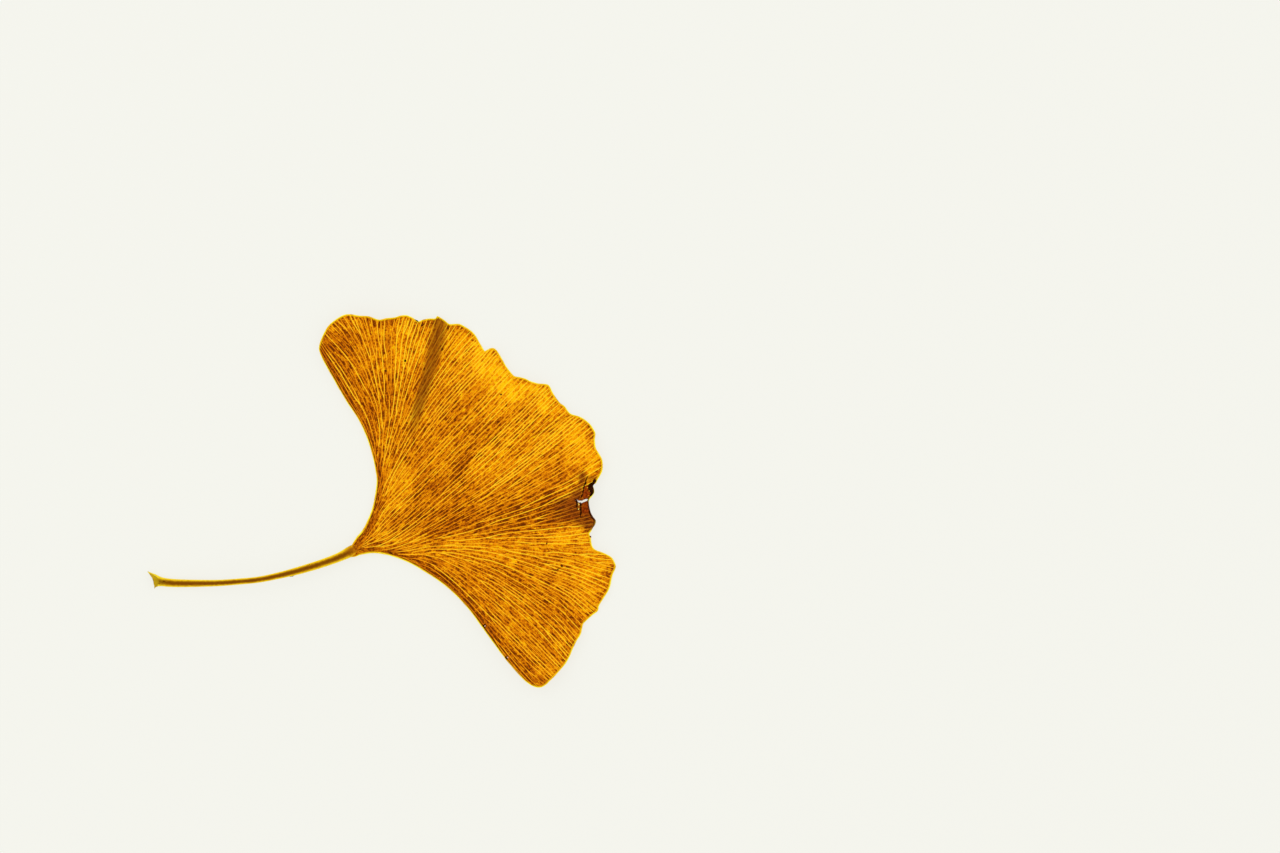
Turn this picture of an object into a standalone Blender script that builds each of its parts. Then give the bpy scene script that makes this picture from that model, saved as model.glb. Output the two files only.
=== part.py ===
"""Dried ginkgo leaf: one solid, a waved fan blade with forking ribs that runs into its long stalk.

Metres, +Z up. The leaf lies on its back on a surface at z = 0, with the stalk towards -X and the
fan opening towards +X. The outline lists are in millimetres from the point where stalk meets blade.
"""
import math

import bmesh
import bpy
import numpy as np
from mathutils import Matrix, Vector

MM = 0.001

# Driving dimensions, in millimetres unless said otherwise
BASE_POINT = (-6.23, -10.25)     # where the stalk meets the blade, from the middle of the leaf's box
FAN_CENTRE = (-5.44, -2.34)      # the veins fan out from here, a little way back along the stalk
BLADE_START = 4.6                # radius from the fan centre at which the blade begins inside the stalk
BLADE_FREE = 8.0                 # radius at which the blade has left the stalk at its full width
START_WIDTH = 0.5                # share of the fan's width that the blade has at its start
START_LIFT = 0.35                # and how far its underside is raised there
BLADE_THICK = 0.65
BASE_THICK = 0.75                # extra thickness where the veins leave the stalk
BASE_THICK_LENGTH = 5.0
RIB_HEIGHT = 0.2                 # ribs on the upper face
RIB_FROM, RIB_TO = 8.0, 26.0     # radii over which they rise
SHARP_ANGLE = math.radians(15)   # ribs and cut edges are shaded sharp, the waves smooth
CUP_HEIGHT = 1.25                # height of the blade's underside where it leaves the stalk
CUP_RADIUS = 46.0                # radius at which the blade is lowest, and it rises a little beyond
MIDDLE_LIFT = 0.3                # the middle valley stays this clear, so the leaf rests on the outer two
MIDDLE_REACH = 0.3               # share of half the fan over which it is raised
SETTLE = 0.035                   # the outer valleys are pressed flat on the surface by this much
NOTCH_POWER = 5.0                # the margin's notches die away inwards by this power
NOTCH_SPREAD = 0.12              # share of half the fan over which they are smoothed out

PLEAT_HEIGHT = 0.95
PLEAT_WIDTH = 1.25
PLEAT_FROM, PLEAT_TO = 28.0, 43.0    # radii over which the pleat rises from the blade
PLEAT_PLACE = 0.5                # where the pleat runs across the fan, and how far it swings out
PLEAT_SWING = 0.065
SWING_FROM, SWING_TO = 40.0, 54.0

RUFFLE_HEIGHT = 0.42
RUFFLE_REACH = 8.0
RUFFLE_WAVES = 6.3               # waves for each half of the fan
RUFFLE_SHIFT = 0.8
RUFFLE_LIFT = 1.0                # the ruffled margin stands up by this share of its height

STALK_STEP = 1.6                  # distance between the points of the stalk's curve
STALK_FLATNESS = 0.82             # height of the stalk's section over its width
FLARE_FLATNESS = 0.62             # the same at its flared end
FLARE_FROM, FLARE_TO = -36.5, -39.0

COLUMNS_AT_BASE = 28              # columns of faces across the fan, doubled at each fork
ROWS = 25
FORKS = (0.27, 0.56)              # share of the blade's length at which the columns double
FORK_LENGTH = 0.08                # share of the length over which a new rib rises

# Upper side of the blade, from the stalk to the upper corner
UPPER_SIDE = [(-3.2, -0.5), (-1.2, 0.2), (0.0, 1.0), (1.4, 2.6), (2.8, 4.3), (4.0, 6.8), (4.9, 9.6),
              (5.5, 13.8), (5.2, 16.5), (4.6, 19.4), (3.6, 22.6), (1.9, 26.3), (-0.7, 30.3), (-3.0, 34.3),
              (-5.2, 38.3), (-6.0, 40.3)]

# Lower side of the blade, from the stalk to the lower corner
LOWER_SIDE = [(-3.2, -2.4), (-1.0, -1.6), (0.5, -1.1), (2.2, -0.5), (4.8, -0.1), (7.9, -0.6), (11.9, -2.1),
              (16.0, -4.5), (20.0, -7.4), (23.7, -11.2), (26.7, -15.2), (30.0, -19.7), (32.3, -22.6),
              (34.9, -25.4), (36.3, -26.5)]

# Outer margin with its notches, from the upper corner round to the lower corner
MARGIN = [(-6.0, 40.3), (-5.9, 41.3), (-5.1, 43.3), (-3.8, 45.3), (-1.6, 46.9), (0.0, 47.3), (2.0, 47.0),
          (3.9, 46.9), (5.0, 46.5), (6.1, 46.2), (7.4, 46.5), (9.1, 46.7), (10.1, 47.0), (11.4, 47.1),
          (12.5, 46.7), (13.8, 45.9), (14.6, 46.2), (15.9, 46.5), (17.2, 46.5), (17.5, 47.0), (18.1, 46.7),
          (18.9, 46.2), (19.9, 45.4), (20.9, 45.4), (22.0, 45.4), (23.1, 44.8), (24.3, 44.0), (25.1, 43.1),
          (25.7, 42.0), (26.4, 40.8), (26.9, 40.0), (27.3, 40.1), (28.0, 40.5), (28.7, 40.6), (29.3, 40.2),
          (30.1, 39.0), (31.1, 37.2), (32.1, 35.8), (32.9, 35.0), (34.0, 34.8), (35.1, 34.5), (36.1, 34.0),
          (37.7, 33.5), (39.3, 33.4), (39.9, 33.0), (40.4, 31.9), (41.2, 30.6), (42.0, 29.6), (42.9, 29.0),
          (43.6, 28.0), (44.3, 27.4), (45.7, 27.0), (46.8, 26.4), (47.9, 25.5), (48.7, 24.3), (49.0, 23.6),
          (48.9, 22.3), (49.1, 20.7), (49.6, 19.8), (50.3, 18.6), (50.5, 17.6), (50.4, 16.3), (50.0, 15.3),
          (49.4, 14.3), (49.1, 13.7), (48.5, 13.4), (48.7, 12.7), (48.8, 11.9), (48.5, 11.3), (48.0, 10.7),
          (47.7, 10.1), (47.8, 9.0), (48.1, 7.8), (48.6, 6.9), (49.1, 6.2), (48.9, 5.4), (48.5, 4.8),
          (48.1, 4.0), (47.8, 3.6), (48.1, 2.8), (48.2, 1.9), (48.5, 0.9), (49.2, 0.3), (50.3, -0.1),
          (51.4, -0.6), (52.3, -1.2), (52.8, -2.0), (53.1, -2.9), (52.9, -3.6), (52.5, -4.4), (52.2, -5.6),
          (52.0, -6.7), (51.6, -7.8), (51.1, -8.6), (50.4, -9.7), (49.7, -10.9), (49.5, -11.8), (48.5, -12.6),
          (47.2, -13.8), (46.5, -14.6), (46.1, -16.4), (45.3, -17.7), (44.5, -19.3), (44.0, -20.6),
          (43.2, -22.1), (42.3, -23.2), (41.1, -24.5), (40.0, -25.6), (39.2, -26.4), (38.3, -26.9),
          (37.3, -26.9), (36.3, -26.5)]

# Middle line of the stalk with its height and half width, from the torn end to inside the blade
STALK = [(-41.6, -5.5, 1.05, 2.0), (-40.2, -5.7, 0.86, 1.6), (-39.0, -5.83, 0.71, 1.28),
         (-37.7, -6.0, 0.72, 0.87), (-36.2, -6.2, 0.8, 0.79), (-34.0, -6.3, 0.98, 0.74),
         (-30.0, -6.3, 1.5, 0.67), (-26.0, -6.2, 2.15, 0.6), (-22.0, -5.9, 2.7, 0.57),
         (-18.0, -5.5, 2.95, 0.57), (-14.0, -4.7, 2.85, 0.62), (-10.0, -3.7, 2.5, 0.72),
         (-6.0, -2.5, 2.1, 0.8), (-3.0, -1.45, 1.85, 0.88), (0.0, -0.1, 1.65, 0.96),
         (1.6, 0.9, 1.5, 0.8), (3.2, 1.9, 1.35, 0.55), (4.8, 2.9, 1.25, 0.28)]

# Waves of the blade: place across the fan from -1 at the lower side to 1 at the upper side
WAVE_PLACES = (-1.25, -0.62, 0.02, 0.45, 1.05)
WAVE_COUNTS = (-1.95, -1.0, 0.0, 1.0, 1.86)      # waves passed at each place: whole numbers are valleys
RIDGE_PLACES = (-1.0, -0.31, 0.22, 1.0)
RIDGE_HEIGHTS = (2.5, 1.7, 1.1, 3.0)
RIDGE_FROM, RIDGE_TO = 10.0, 48.0

# Scoop that leaves the stalk's torn end hollow between two points, and the slit near the margin
CUTTER_HEIGHT = 1.0
CUTTER_DEPTH = 8.0
SCOOP_CENTRE = (-42.84, -6.98)
SCOOP_RADIUS = 3.9
SLIT_CENTRE = (46.2, 10.22)
SLIT_LENGTH, SLIT_WIDTH = 2.3, 0.5


def clear_scene():
    for obj in list(bpy.data.objects):
        bpy.data.objects.remove(obj, do_unlink=True)


def new_collection(name):
    collection = bpy.data.collections.new(name)
    bpy.context.scene.collection.children.link(collection)
    return collection


def leaf_material():
    material = bpy.data.materials.new("dried_leaf")
    material.use_nodes = True
    shader = material.node_tree.nodes["Principled BSDF"]
    shader.inputs["Base Color"].default_value = (0.72, 0.31, 0.012, 1.0)
    shader.inputs["Roughness"].default_value = 0.6
    shader.inputs["Metallic"].default_value = 0.0
    return material


def smooth_line(points, steps=14):
    """Carry a smooth curve through the points: each span is a cubic with slopes from its neighbours."""
    p = np.array(points, dtype=float)
    before = np.vstack([2 * p[0] - p[1], p[:-1]])
    after = np.vstack([p[1:], 2 * p[-1] - p[-2]])
    slope = (after - before) / 2
    share = np.linspace(0, 1, steps, endpoint=False)[:, None, None]
    start, end, leave, arrive = p[:-1], p[1:], slope[:-1], slope[1:]
    line = ((2 * share**3 - 3 * share**2 + 1) * start + (share**3 - 2 * share**2 + share) * leave
            + (3 * share**2 - 2 * share**3) * end + (share**3 - share**2) * arrive)
    line = line.transpose(1, 0, 2).reshape(-1, p.shape[1])
    return np.vstack([line, p[-1]])


def polar(points):
    """Radius in millimetres and angle in radians of points about the fan's centre."""
    x = points[:, 0] - FAN_CENTRE[0]
    y = points[:, 1] - FAN_CENTRE[1]
    return np.hypot(x, y), np.arctan2(y, x)


def smooth_step(value, low, high):
    share = np.clip((value - low) / (high - low), 0, 1)
    return share * share * (3 - 2 * share)


UPPER_RADIUS, UPPER_ANGLE = polar(smooth_line(UPPER_SIDE))
LOWER_RADIUS, LOWER_ANGLE = polar(smooth_line(LOWER_SIDE))


def fan_angles(radius):
    """Middle angle and half spread of the fan at a radius."""
    upper = np.interp(radius, UPPER_RADIUS, UPPER_ANGLE)
    lower = np.interp(radius, LOWER_RADIUS, LOWER_ANGLE)
    return (upper + lower) / 2, (upper - lower) / 2


def margin_reach():
    """Radius of the outer margin as a function of the place across the fan."""
    radius, angle = polar(smooth_line(MARGIN))
    middle, half = fan_angles(radius)
    across = np.minimum.accumulate(np.clip((angle - middle) / half, -1, 1))
    order = np.argsort(across, kind="stable")
    return across[order], radius[order]


REACH_ACROSS, REACH_RADIUS = margin_reach()


def soft_reach(across):
    """The margin's radius with its notches smoothed out."""
    offsets = np.linspace(-1, 1, 25)
    places = np.clip(across[:, None] + NOTCH_SPREAD * offsets, -0.97, 0.97)
    weights = np.cos(offsets * math.pi / 2)
    return (np.interp(places, REACH_ACROSS, REACH_RADIUS) * weights).sum(1) / weights.sum()


def blade_height(across, radius, spread, reach):
    """Height of the underside: a shallow cup, radial waves, a ruffled margin and one pleat."""
    cup = CUP_HEIGHT * np.abs(1 - radius / CUP_RADIUS) ** 1.5
    middle = MIDDLE_LIFT * np.clip(1 - (across / MIDDLE_REACH) ** 2, 0, 1)
    passed = np.interp(across, WAVE_PLACES, WAVE_COUNTS)
    waves = (0.5 - 0.5 * np.cos(2 * math.pi * passed)) * np.interp(across, RIDGE_PLACES, RIDGE_HEIGHTS)
    waves = waves * smooth_step(radius, RIDGE_FROM, RIDGE_TO)
    edge = np.clip(1 - (reach - radius) / RUFFLE_REACH, 0, 1) ** 2
    ripple = np.sin(2 * math.pi * RUFFLE_WAVES * across + RUFFLE_SHIFT)
    ruffle = RUFFLE_HEIGHT * edge * (RUFFLE_LIFT + ripple)
    pleat_place = PLEAT_PLACE + PLEAT_SWING * smooth_step(radius, SWING_FROM, SWING_TO)
    pleat = np.exp(-((across - pleat_place) * spread * radius / PLEAT_WIDTH) ** 2)
    pleat = PLEAT_HEIGHT * pleat * smooth_step(radius, PLEAT_FROM, PLEAT_TO)
    return np.maximum(cup + middle + waves + ruffle + pleat - SETTLE, 0)


def rib_height(across, along, radius):
    """Ribs on every other column, each new set rising just past the fork it starts from."""
    finest = COLUMNS_AT_BASE * 2 ** len(FORKS)
    column = np.rint((across + 1) / 2 * finest).astype(int)
    first = column % 8 == 0
    second = (column % 8 == 4) * smooth_step(along, FORKS[0], FORKS[0] + FORK_LENGTH)
    third = (column % 4 == 2) * smooth_step(along, FORKS[1], FORKS[1] + FORK_LENGTH)
    inside = (column > 0) & (column < finest)
    return RIB_HEIGHT * (first + second + third) * inside * smooth_step(radius, RIB_FROM, RIB_TO)


def blade_points(across, along, upper):
    """Carry grid places, across and along the fan, to millimetres on the under or upper face."""
    reach = np.interp(across, REACH_ACROSS, REACH_RADIUS)
    soft = soft_reach(across)
    radius = BLADE_START + (soft - BLADE_START) * along + (reach - soft) * along**NOTCH_POWER
    middle, half = fan_angles(radius)
    free = smooth_step(radius, BLADE_START, BLADE_FREE)
    angle = middle + across * half * (START_WIDTH + (1 - START_WIDTH) * free)
    height = blade_height(across, radius, half, reach) + START_LIFT * (1 - free)
    thick = BLADE_THICK + BASE_THICK * free * np.exp(-(radius - BLADE_START) / BASE_THICK_LENGTH)
    height = height + upper * (thick + rib_height(across, along, radius))
    x = FAN_CENTRE[0] + radius * np.cos(angle)
    y = FAN_CENTRE[1] + radius * np.sin(angle)
    return np.stack([x, y, height], 1)


def forked_grid(bm):
    """A flat grid over the fan, x across and y along, whose columns double at each fork."""
    bmesh.ops.create_grid(bm, x_segments=COLUMNS_AT_BASE, y_segments=ROWS, size=1.0)
    for vert in bm.verts:
        vert.co.y = (vert.co.y + 1) / 2
    half_row = 0.5 / ROWS
    for fork in FORKS:
        crossing = [e for e in bm.edges
                    if abs(e.verts[0].co.y - e.verts[1].co.y) < half_row
                    and (e.verts[0].co.y + e.verts[1].co.y) / 2 > fork]
        bmesh.ops.subdivide_edges(bm, edges=crossing, cuts=1, use_grid_fill=True)
    bmesh.ops.triangulate(bm, faces=bm.faces[:])


def make_blade(collection):
    """The blade: the forked grid doubled into two faces and carried on to the fan."""
    bm = bmesh.new()
    forked_grid(bm)
    raised = bmesh.ops.extrude_face_region(bm, geom=bm.faces[:])
    for item in raised["geom"]:
        if isinstance(item, bmesh.types.BMVert):
            item.co.z = 1
    bmesh.ops.triangulate(bm, faces=[f for f in bm.faces if len(f.verts) > 3])
    flat = np.array([v.co for v in bm.verts])
    placed = blade_points(flat[:, 0], flat[:, 1], flat[:, 2])
    for vert, point in zip(bm.verts, placed):
        vert.co = point
    bmesh.ops.recalc_face_normals(bm, faces=bm.faces[:])
    return finish_mesh(bm, "ginkgo_leaf", collection)


def finish_mesh(bm, name, collection):
    """Scale a millimetre mesh to metres, move it to the leaf's place and put it in an object."""
    bmesh.ops.translate(bm, verts=bm.verts[:], vec=(BASE_POINT[0], BASE_POINT[1], 0))
    bmesh.ops.scale(bm, verts=bm.verts[:], vec=(MM, MM, MM))
    mesh = bpy.data.meshes.new(name)
    bm.to_mesh(mesh)
    bm.free()
    obj = bpy.data.objects.new(name, mesh)
    collection.objects.link(obj)
    return obj


def stalk_line():
    """Points at even steps along the stalk, each with its height and half width."""
    line = smooth_line(STALK, 4)
    run = np.concatenate([[0], np.cumsum(np.hypot(*np.diff(line[:, :2], axis=0).T))])
    stops = np.arange(0, run[-1], STALK_STEP)
    return np.stack([np.interp(stops, run, line[:, i]) for i in range(4)], 1)


def make_stalk(collection):
    """The stalk: a curve with a round bevel and a varying radius, made a mesh and flattened."""
    points = stalk_line()
    curve = bpy.data.curves.new("stalk_line", "CURVE")
    curve.dimensions = "3D"
    curve.bevel_depth = 1.0
    curve.bevel_resolution = 2
    curve.use_fill_caps = True
    curve.twist_mode = "Z_UP"
    spline = curve.splines.new("POLY")
    spline.points.add(len(points) - 1)
    for place, (x, y, z, half) in zip(spline.points, points):
        place.co = (x, y, z, 1)
        place.radius = half
    guide = bpy.data.objects.new("stalk_line", curve)
    collection.objects.link(guide)
    depsgraph = bpy.context.evaluated_depsgraph_get()
    tube = bpy.data.meshes.new_from_object(guide.evaluated_get(depsgraph))
    bpy.data.objects.remove(guide, do_unlink=True)
    bm = bmesh.new()
    bm.from_mesh(tube)
    bmesh.ops.remove_doubles(bm, verts=bm.verts[:], dist=0.0001)
    flatten_stalk(bm, points)
    bmesh.ops.triangulate(bm, faces=[f for f in bm.faces if len(f.verts) > 4])
    bmesh.ops.recalc_face_normals(bm, faces=bm.faces[:])
    return finish_mesh(bm, "stalk", collection)


def flatten_stalk(bm, points):
    """Press the round tube flat about its middle line, most at its flared end, and set it on z = 0."""
    for vert in bm.verts:
        middle = np.interp(vert.co.x, points[:, 0], points[:, 2])
        flare = float(smooth_step(vert.co.x, FLARE_FROM, FLARE_TO))
        flatness = STALK_FLATNESS + (FLARE_FLATNESS - STALK_FLATNESS) * flare
        vert.co.z = max(middle + (vert.co.z - middle) * flatness, 0.0)


def make_cutter(name, collection, shape):
    """A hidden cutter from a closed shape in millimetres."""
    cutter = finish_mesh(shape, name, collection)
    cutter.hide_render = True
    cutter.display_type = "WIRE"
    return cutter


def scoop_cutter(collection):
    bm = bmesh.new()
    place = Matrix.Translation(Vector((*SCOOP_CENTRE, CUTTER_HEIGHT)))
    bmesh.ops.create_uvsphere(bm, u_segments=24, v_segments=12, radius=SCOOP_RADIUS, matrix=place)
    return make_cutter("scoop", collection, bm)


def slit_cutter(collection):
    """A lens-shaped pin through the blade near the margin, where it is torn."""
    bm = bmesh.new()
    place = Matrix.Translation(Vector((*SLIT_CENTRE, CUTTER_HEIGHT)))
    shape = Matrix.Diagonal((SLIT_LENGTH / 2, SLIT_WIDTH / 2, 1, 1))
    bmesh.ops.create_cone(bm, cap_ends=True, segments=10, radius1=1, radius2=1, depth=CUTTER_DEPTH,
                          matrix=place @ shape)
    return make_cutter("slit", collection, bm)


def combine(target, other, operation):
    """Join to or cut from the target by one Boolean, applied, with the other object then removed."""
    modifier = target.modifiers.new(operation.lower(), "BOOLEAN")
    modifier.operation = operation
    modifier.solver = "EXACT"
    modifier.object = other
    depsgraph = bpy.context.evaluated_depsgraph_get()
    result = bpy.data.meshes.new_from_object(target.evaluated_get(depsgraph))
    target.modifiers.clear()
    target.data = result
    bpy.data.objects.remove(other, do_unlink=True)


def finish_leaf(leaf):
    """Triangulate, shade smooth apart from ribs and cut edges, and give the leaf its material."""
    bm = bmesh.new()
    bm.from_mesh(leaf.data)
    bmesh.ops.triangulate(bm, faces=bm.faces[:])
    bm.to_mesh(leaf.data)
    bm.free()
    leaf.data.materials.clear()
    leaf.data.materials.append(leaf_material())
    leaf.data.shade_smooth()
    leaf.data.set_sharp_from_angle(angle=SHARP_ANGLE)


def main():
    clear_scene()
    parts = new_collection("ginkgo_leaf")
    cutters = new_collection("cutters")
    leaf = make_blade(parts)
    stalk = make_stalk(cutters)
    combine(stalk, scoop_cutter(cutters), "DIFFERENCE")
    combine(leaf, slit_cutter(cutters), "DIFFERENCE")
    combine(leaf, stalk, "UNION")
    finish_leaf(leaf)


main()
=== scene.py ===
import math

import bmesh
import bpy
import numpy as np
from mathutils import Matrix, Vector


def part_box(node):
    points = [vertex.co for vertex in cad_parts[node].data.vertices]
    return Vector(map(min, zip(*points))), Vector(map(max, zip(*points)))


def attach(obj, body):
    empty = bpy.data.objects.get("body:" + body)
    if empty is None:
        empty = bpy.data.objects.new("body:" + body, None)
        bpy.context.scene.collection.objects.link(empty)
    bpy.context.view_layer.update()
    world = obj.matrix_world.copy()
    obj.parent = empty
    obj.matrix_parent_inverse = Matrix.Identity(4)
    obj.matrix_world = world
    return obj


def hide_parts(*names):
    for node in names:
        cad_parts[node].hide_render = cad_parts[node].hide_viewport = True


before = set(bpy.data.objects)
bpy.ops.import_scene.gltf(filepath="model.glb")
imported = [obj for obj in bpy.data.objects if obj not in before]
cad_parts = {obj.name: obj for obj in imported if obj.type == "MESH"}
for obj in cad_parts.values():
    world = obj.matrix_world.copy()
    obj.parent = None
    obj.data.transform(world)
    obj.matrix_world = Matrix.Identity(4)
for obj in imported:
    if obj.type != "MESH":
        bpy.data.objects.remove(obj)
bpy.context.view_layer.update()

# Dried ginkgo leaf lying on a pale surface. Lengths are in millimetres until a mesh is filled,
# and x and y are measured from the point where the stalk meets the blade.
mm = 0.001
boxLow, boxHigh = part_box("ginkgo_leaf")
print("frame loaded, leaf box", [round(v / mm, 1) for v in (*boxLow, *boxHigh)])

bladeShape = {
    "basePoint": (-6.23, -10.25),    # where the stalk meets the blade, from the middle of the leaf's box
    "fanCentre": (-5.44, -2.34),     # the veins fan out from here
    "start": 4.6,                    # radius at which the blade begins inside the stalk
    "free": 8.0,                     # radius at which it has left the stalk at full width
    "startWidth": 0.5,               # share of the fan's width there, and height of the underside
    "startLift": 0.35,
    "thickness": 0.3,
    "marginThickness": 0.15,
    "marginBand": 2.0,               # the blade thins over this last stretch before the margin
    "baseThickness": 0.75,           # extra thickness beside the stalk, dying away over the next length
    "baseLength": 3.6,
    "cupHeight": 1.25,               # at the fan's centre, falling to 0 at the next radius
    "cupRadius": 46.0,
    "cupPower": 1.5,
    "middleLift": 0.3,               # lifts the middle valley, up to this place across the fan
    "middleReach": 0.3,
    "settle": 0.035,                 # how far the lowest places are pressed flat
    "notchPower": 5.0,               # how late along a guide the margin's notches show
    "pleatHeight": 0.95,
    "pleatWidth": 1.25,
    "pleatRise": (28.0, 43.0),       # radii between which it rises
    "pleatPlace": 0.5,               # its place across the fan, and how far that swings between two radii
    "pleatSwing": 0.065,
    "swing": (40.0, 54.0),
    "ruffleHeight": 0.42,            # the margin's ripples: height, reach inwards, number and shift
    "ruffleReach": 8.0,
    "ruffleWaves": 6.3,
    "ruffleShift": 0.8,
    "ruffleLift": 1.0,               # lifts the ripples, so that their dips don't sink
    "wavePlaces": (-1.25, -0.62, 0.02, 0.45, 1.05),    # radial waves passed at places across the fan
    "waveCounts": (-1.95, -1.0, 0.0, 1.0, 1.86),
    "ridgePlaces": (-1.0, -0.31, 0.22, 1.0),           # how high the waves are at places across it
    "ridgeHeights": (2.5, 1.7, 1.1, 3.0),
    "ridgeRise": (10.0, 48.0),       # radii between which the waves rise
    "wrinkle": 0.05,                 # height of the dried blade's fine radial wrinkles
    "wrinkles": ((26, 9, 3), (58, 5, 4)),    # their number across half the fan, length and seed
    "wrinkleRise": (9, 24),
    "columns": 300,
    "rows": 146,
    "shares": 401,                   # steps that each vein guide is cut into
    "marginDots": 900,               # points from which distances to the margin and the sides are taken
    "sideDots": 380,
}

upperSide = [(-3.2, -0.5), (-1.2, 0.2), (0.0, 1.0), (1.4, 2.6), (2.8, 4.3), (4.0, 6.8), (4.9, 9.6),
             (5.5, 13.8), (5.2, 16.5), (4.6, 19.4), (3.6, 22.6), (1.9, 26.3), (-0.7, 30.3), (-3.0, 34.3),
             (-5.2, 38.3), (-6.0, 40.3)]

lowerSide = [(-3.2, -2.4), (-1.0, -1.6), (0.5, -1.1), (2.2, -0.5), (4.8, -0.1), (7.9, -0.6), (11.9, -2.1),
             (16.0, -4.5), (20.0, -7.4), (23.7, -11.2), (26.7, -15.2), (30.0, -19.7), (32.3, -22.6),
             (34.9, -25.4), (36.3, -26.5)]

# Outer margin with its notches, from the upper corner round to the lower corner
outerMargin = [(-6.0, 40.3), (-5.9, 41.3), (-5.1, 43.3), (-3.8, 45.3), (-1.6, 46.9), (0.0, 47.3), (2.0, 47.0),
               (3.9, 46.9), (5.0, 46.5), (6.1, 46.2), (7.4, 46.5), (9.1, 46.7), (10.1, 47.0), (11.4, 47.1),
               (12.5, 46.7), (13.8, 45.9), (14.6, 46.2), (15.9, 46.5), (17.2, 46.5), (17.5, 47.0),
               (18.1, 46.7), (18.9, 46.2), (19.9, 45.4), (20.9, 45.4), (22.0, 45.4), (23.1, 44.8),
               (24.3, 44.0), (25.1, 43.1), (25.7, 42.0), (26.4, 40.8), (26.9, 40.0), (27.3, 40.1),
               (28.0, 40.5), (28.7, 40.6), (29.3, 40.2), (30.1, 39.0), (31.1, 37.2), (32.1, 35.8),
               (32.9, 35.0), (34.0, 34.8), (35.1, 34.5), (36.1, 34.0), (37.7, 33.5), (39.3, 33.4),
               (39.9, 33.0), (40.4, 31.9), (41.2, 30.6), (42.0, 29.6), (42.9, 29.0), (43.6, 28.0),
               (44.3, 27.4), (45.7, 27.0), (46.8, 26.4), (47.9, 25.5), (48.7, 24.3), (49.0, 23.6),
               (48.9, 22.3), (49.1, 20.7), (49.6, 19.8), (50.3, 18.6), (50.5, 17.6), (50.4, 16.3),
               (50.0, 15.3), (49.4, 14.3), (49.1, 13.7), (48.5, 13.4), (48.7, 12.7), (48.8, 11.9),
               (48.5, 11.3), (48.0, 10.7), (47.7, 10.1), (47.8, 9.0), (48.1, 7.8), (48.6, 6.9),
               (49.1, 6.2), (48.9, 5.4), (48.5, 4.8), (48.1, 4.0), (47.8, 3.6), (48.1, 2.8), (48.2, 1.9),
               (48.5, 0.9), (49.2, 0.3), (50.3, -0.1), (51.4, -0.6), (52.3, -1.2), (52.8, -2.0),
               (53.1, -2.9), (52.9, -3.6), (52.5, -4.4), (52.2, -5.6), (52.0, -6.7), (51.6, -7.8),
               (51.1, -8.6), (50.4, -9.7), (49.7, -10.9), (49.5, -11.8), (48.5, -12.6), (47.2, -13.8),
               (46.5, -14.6), (46.1, -16.4), (45.3, -17.7), (44.5, -19.3), (44.0, -20.6), (43.2, -22.1),
               (42.3, -23.2), (41.1, -24.5), (40.0, -25.6), (39.2, -26.4), (38.3, -26.9), (37.3, -26.9),
               (36.3, -26.5)]

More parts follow.
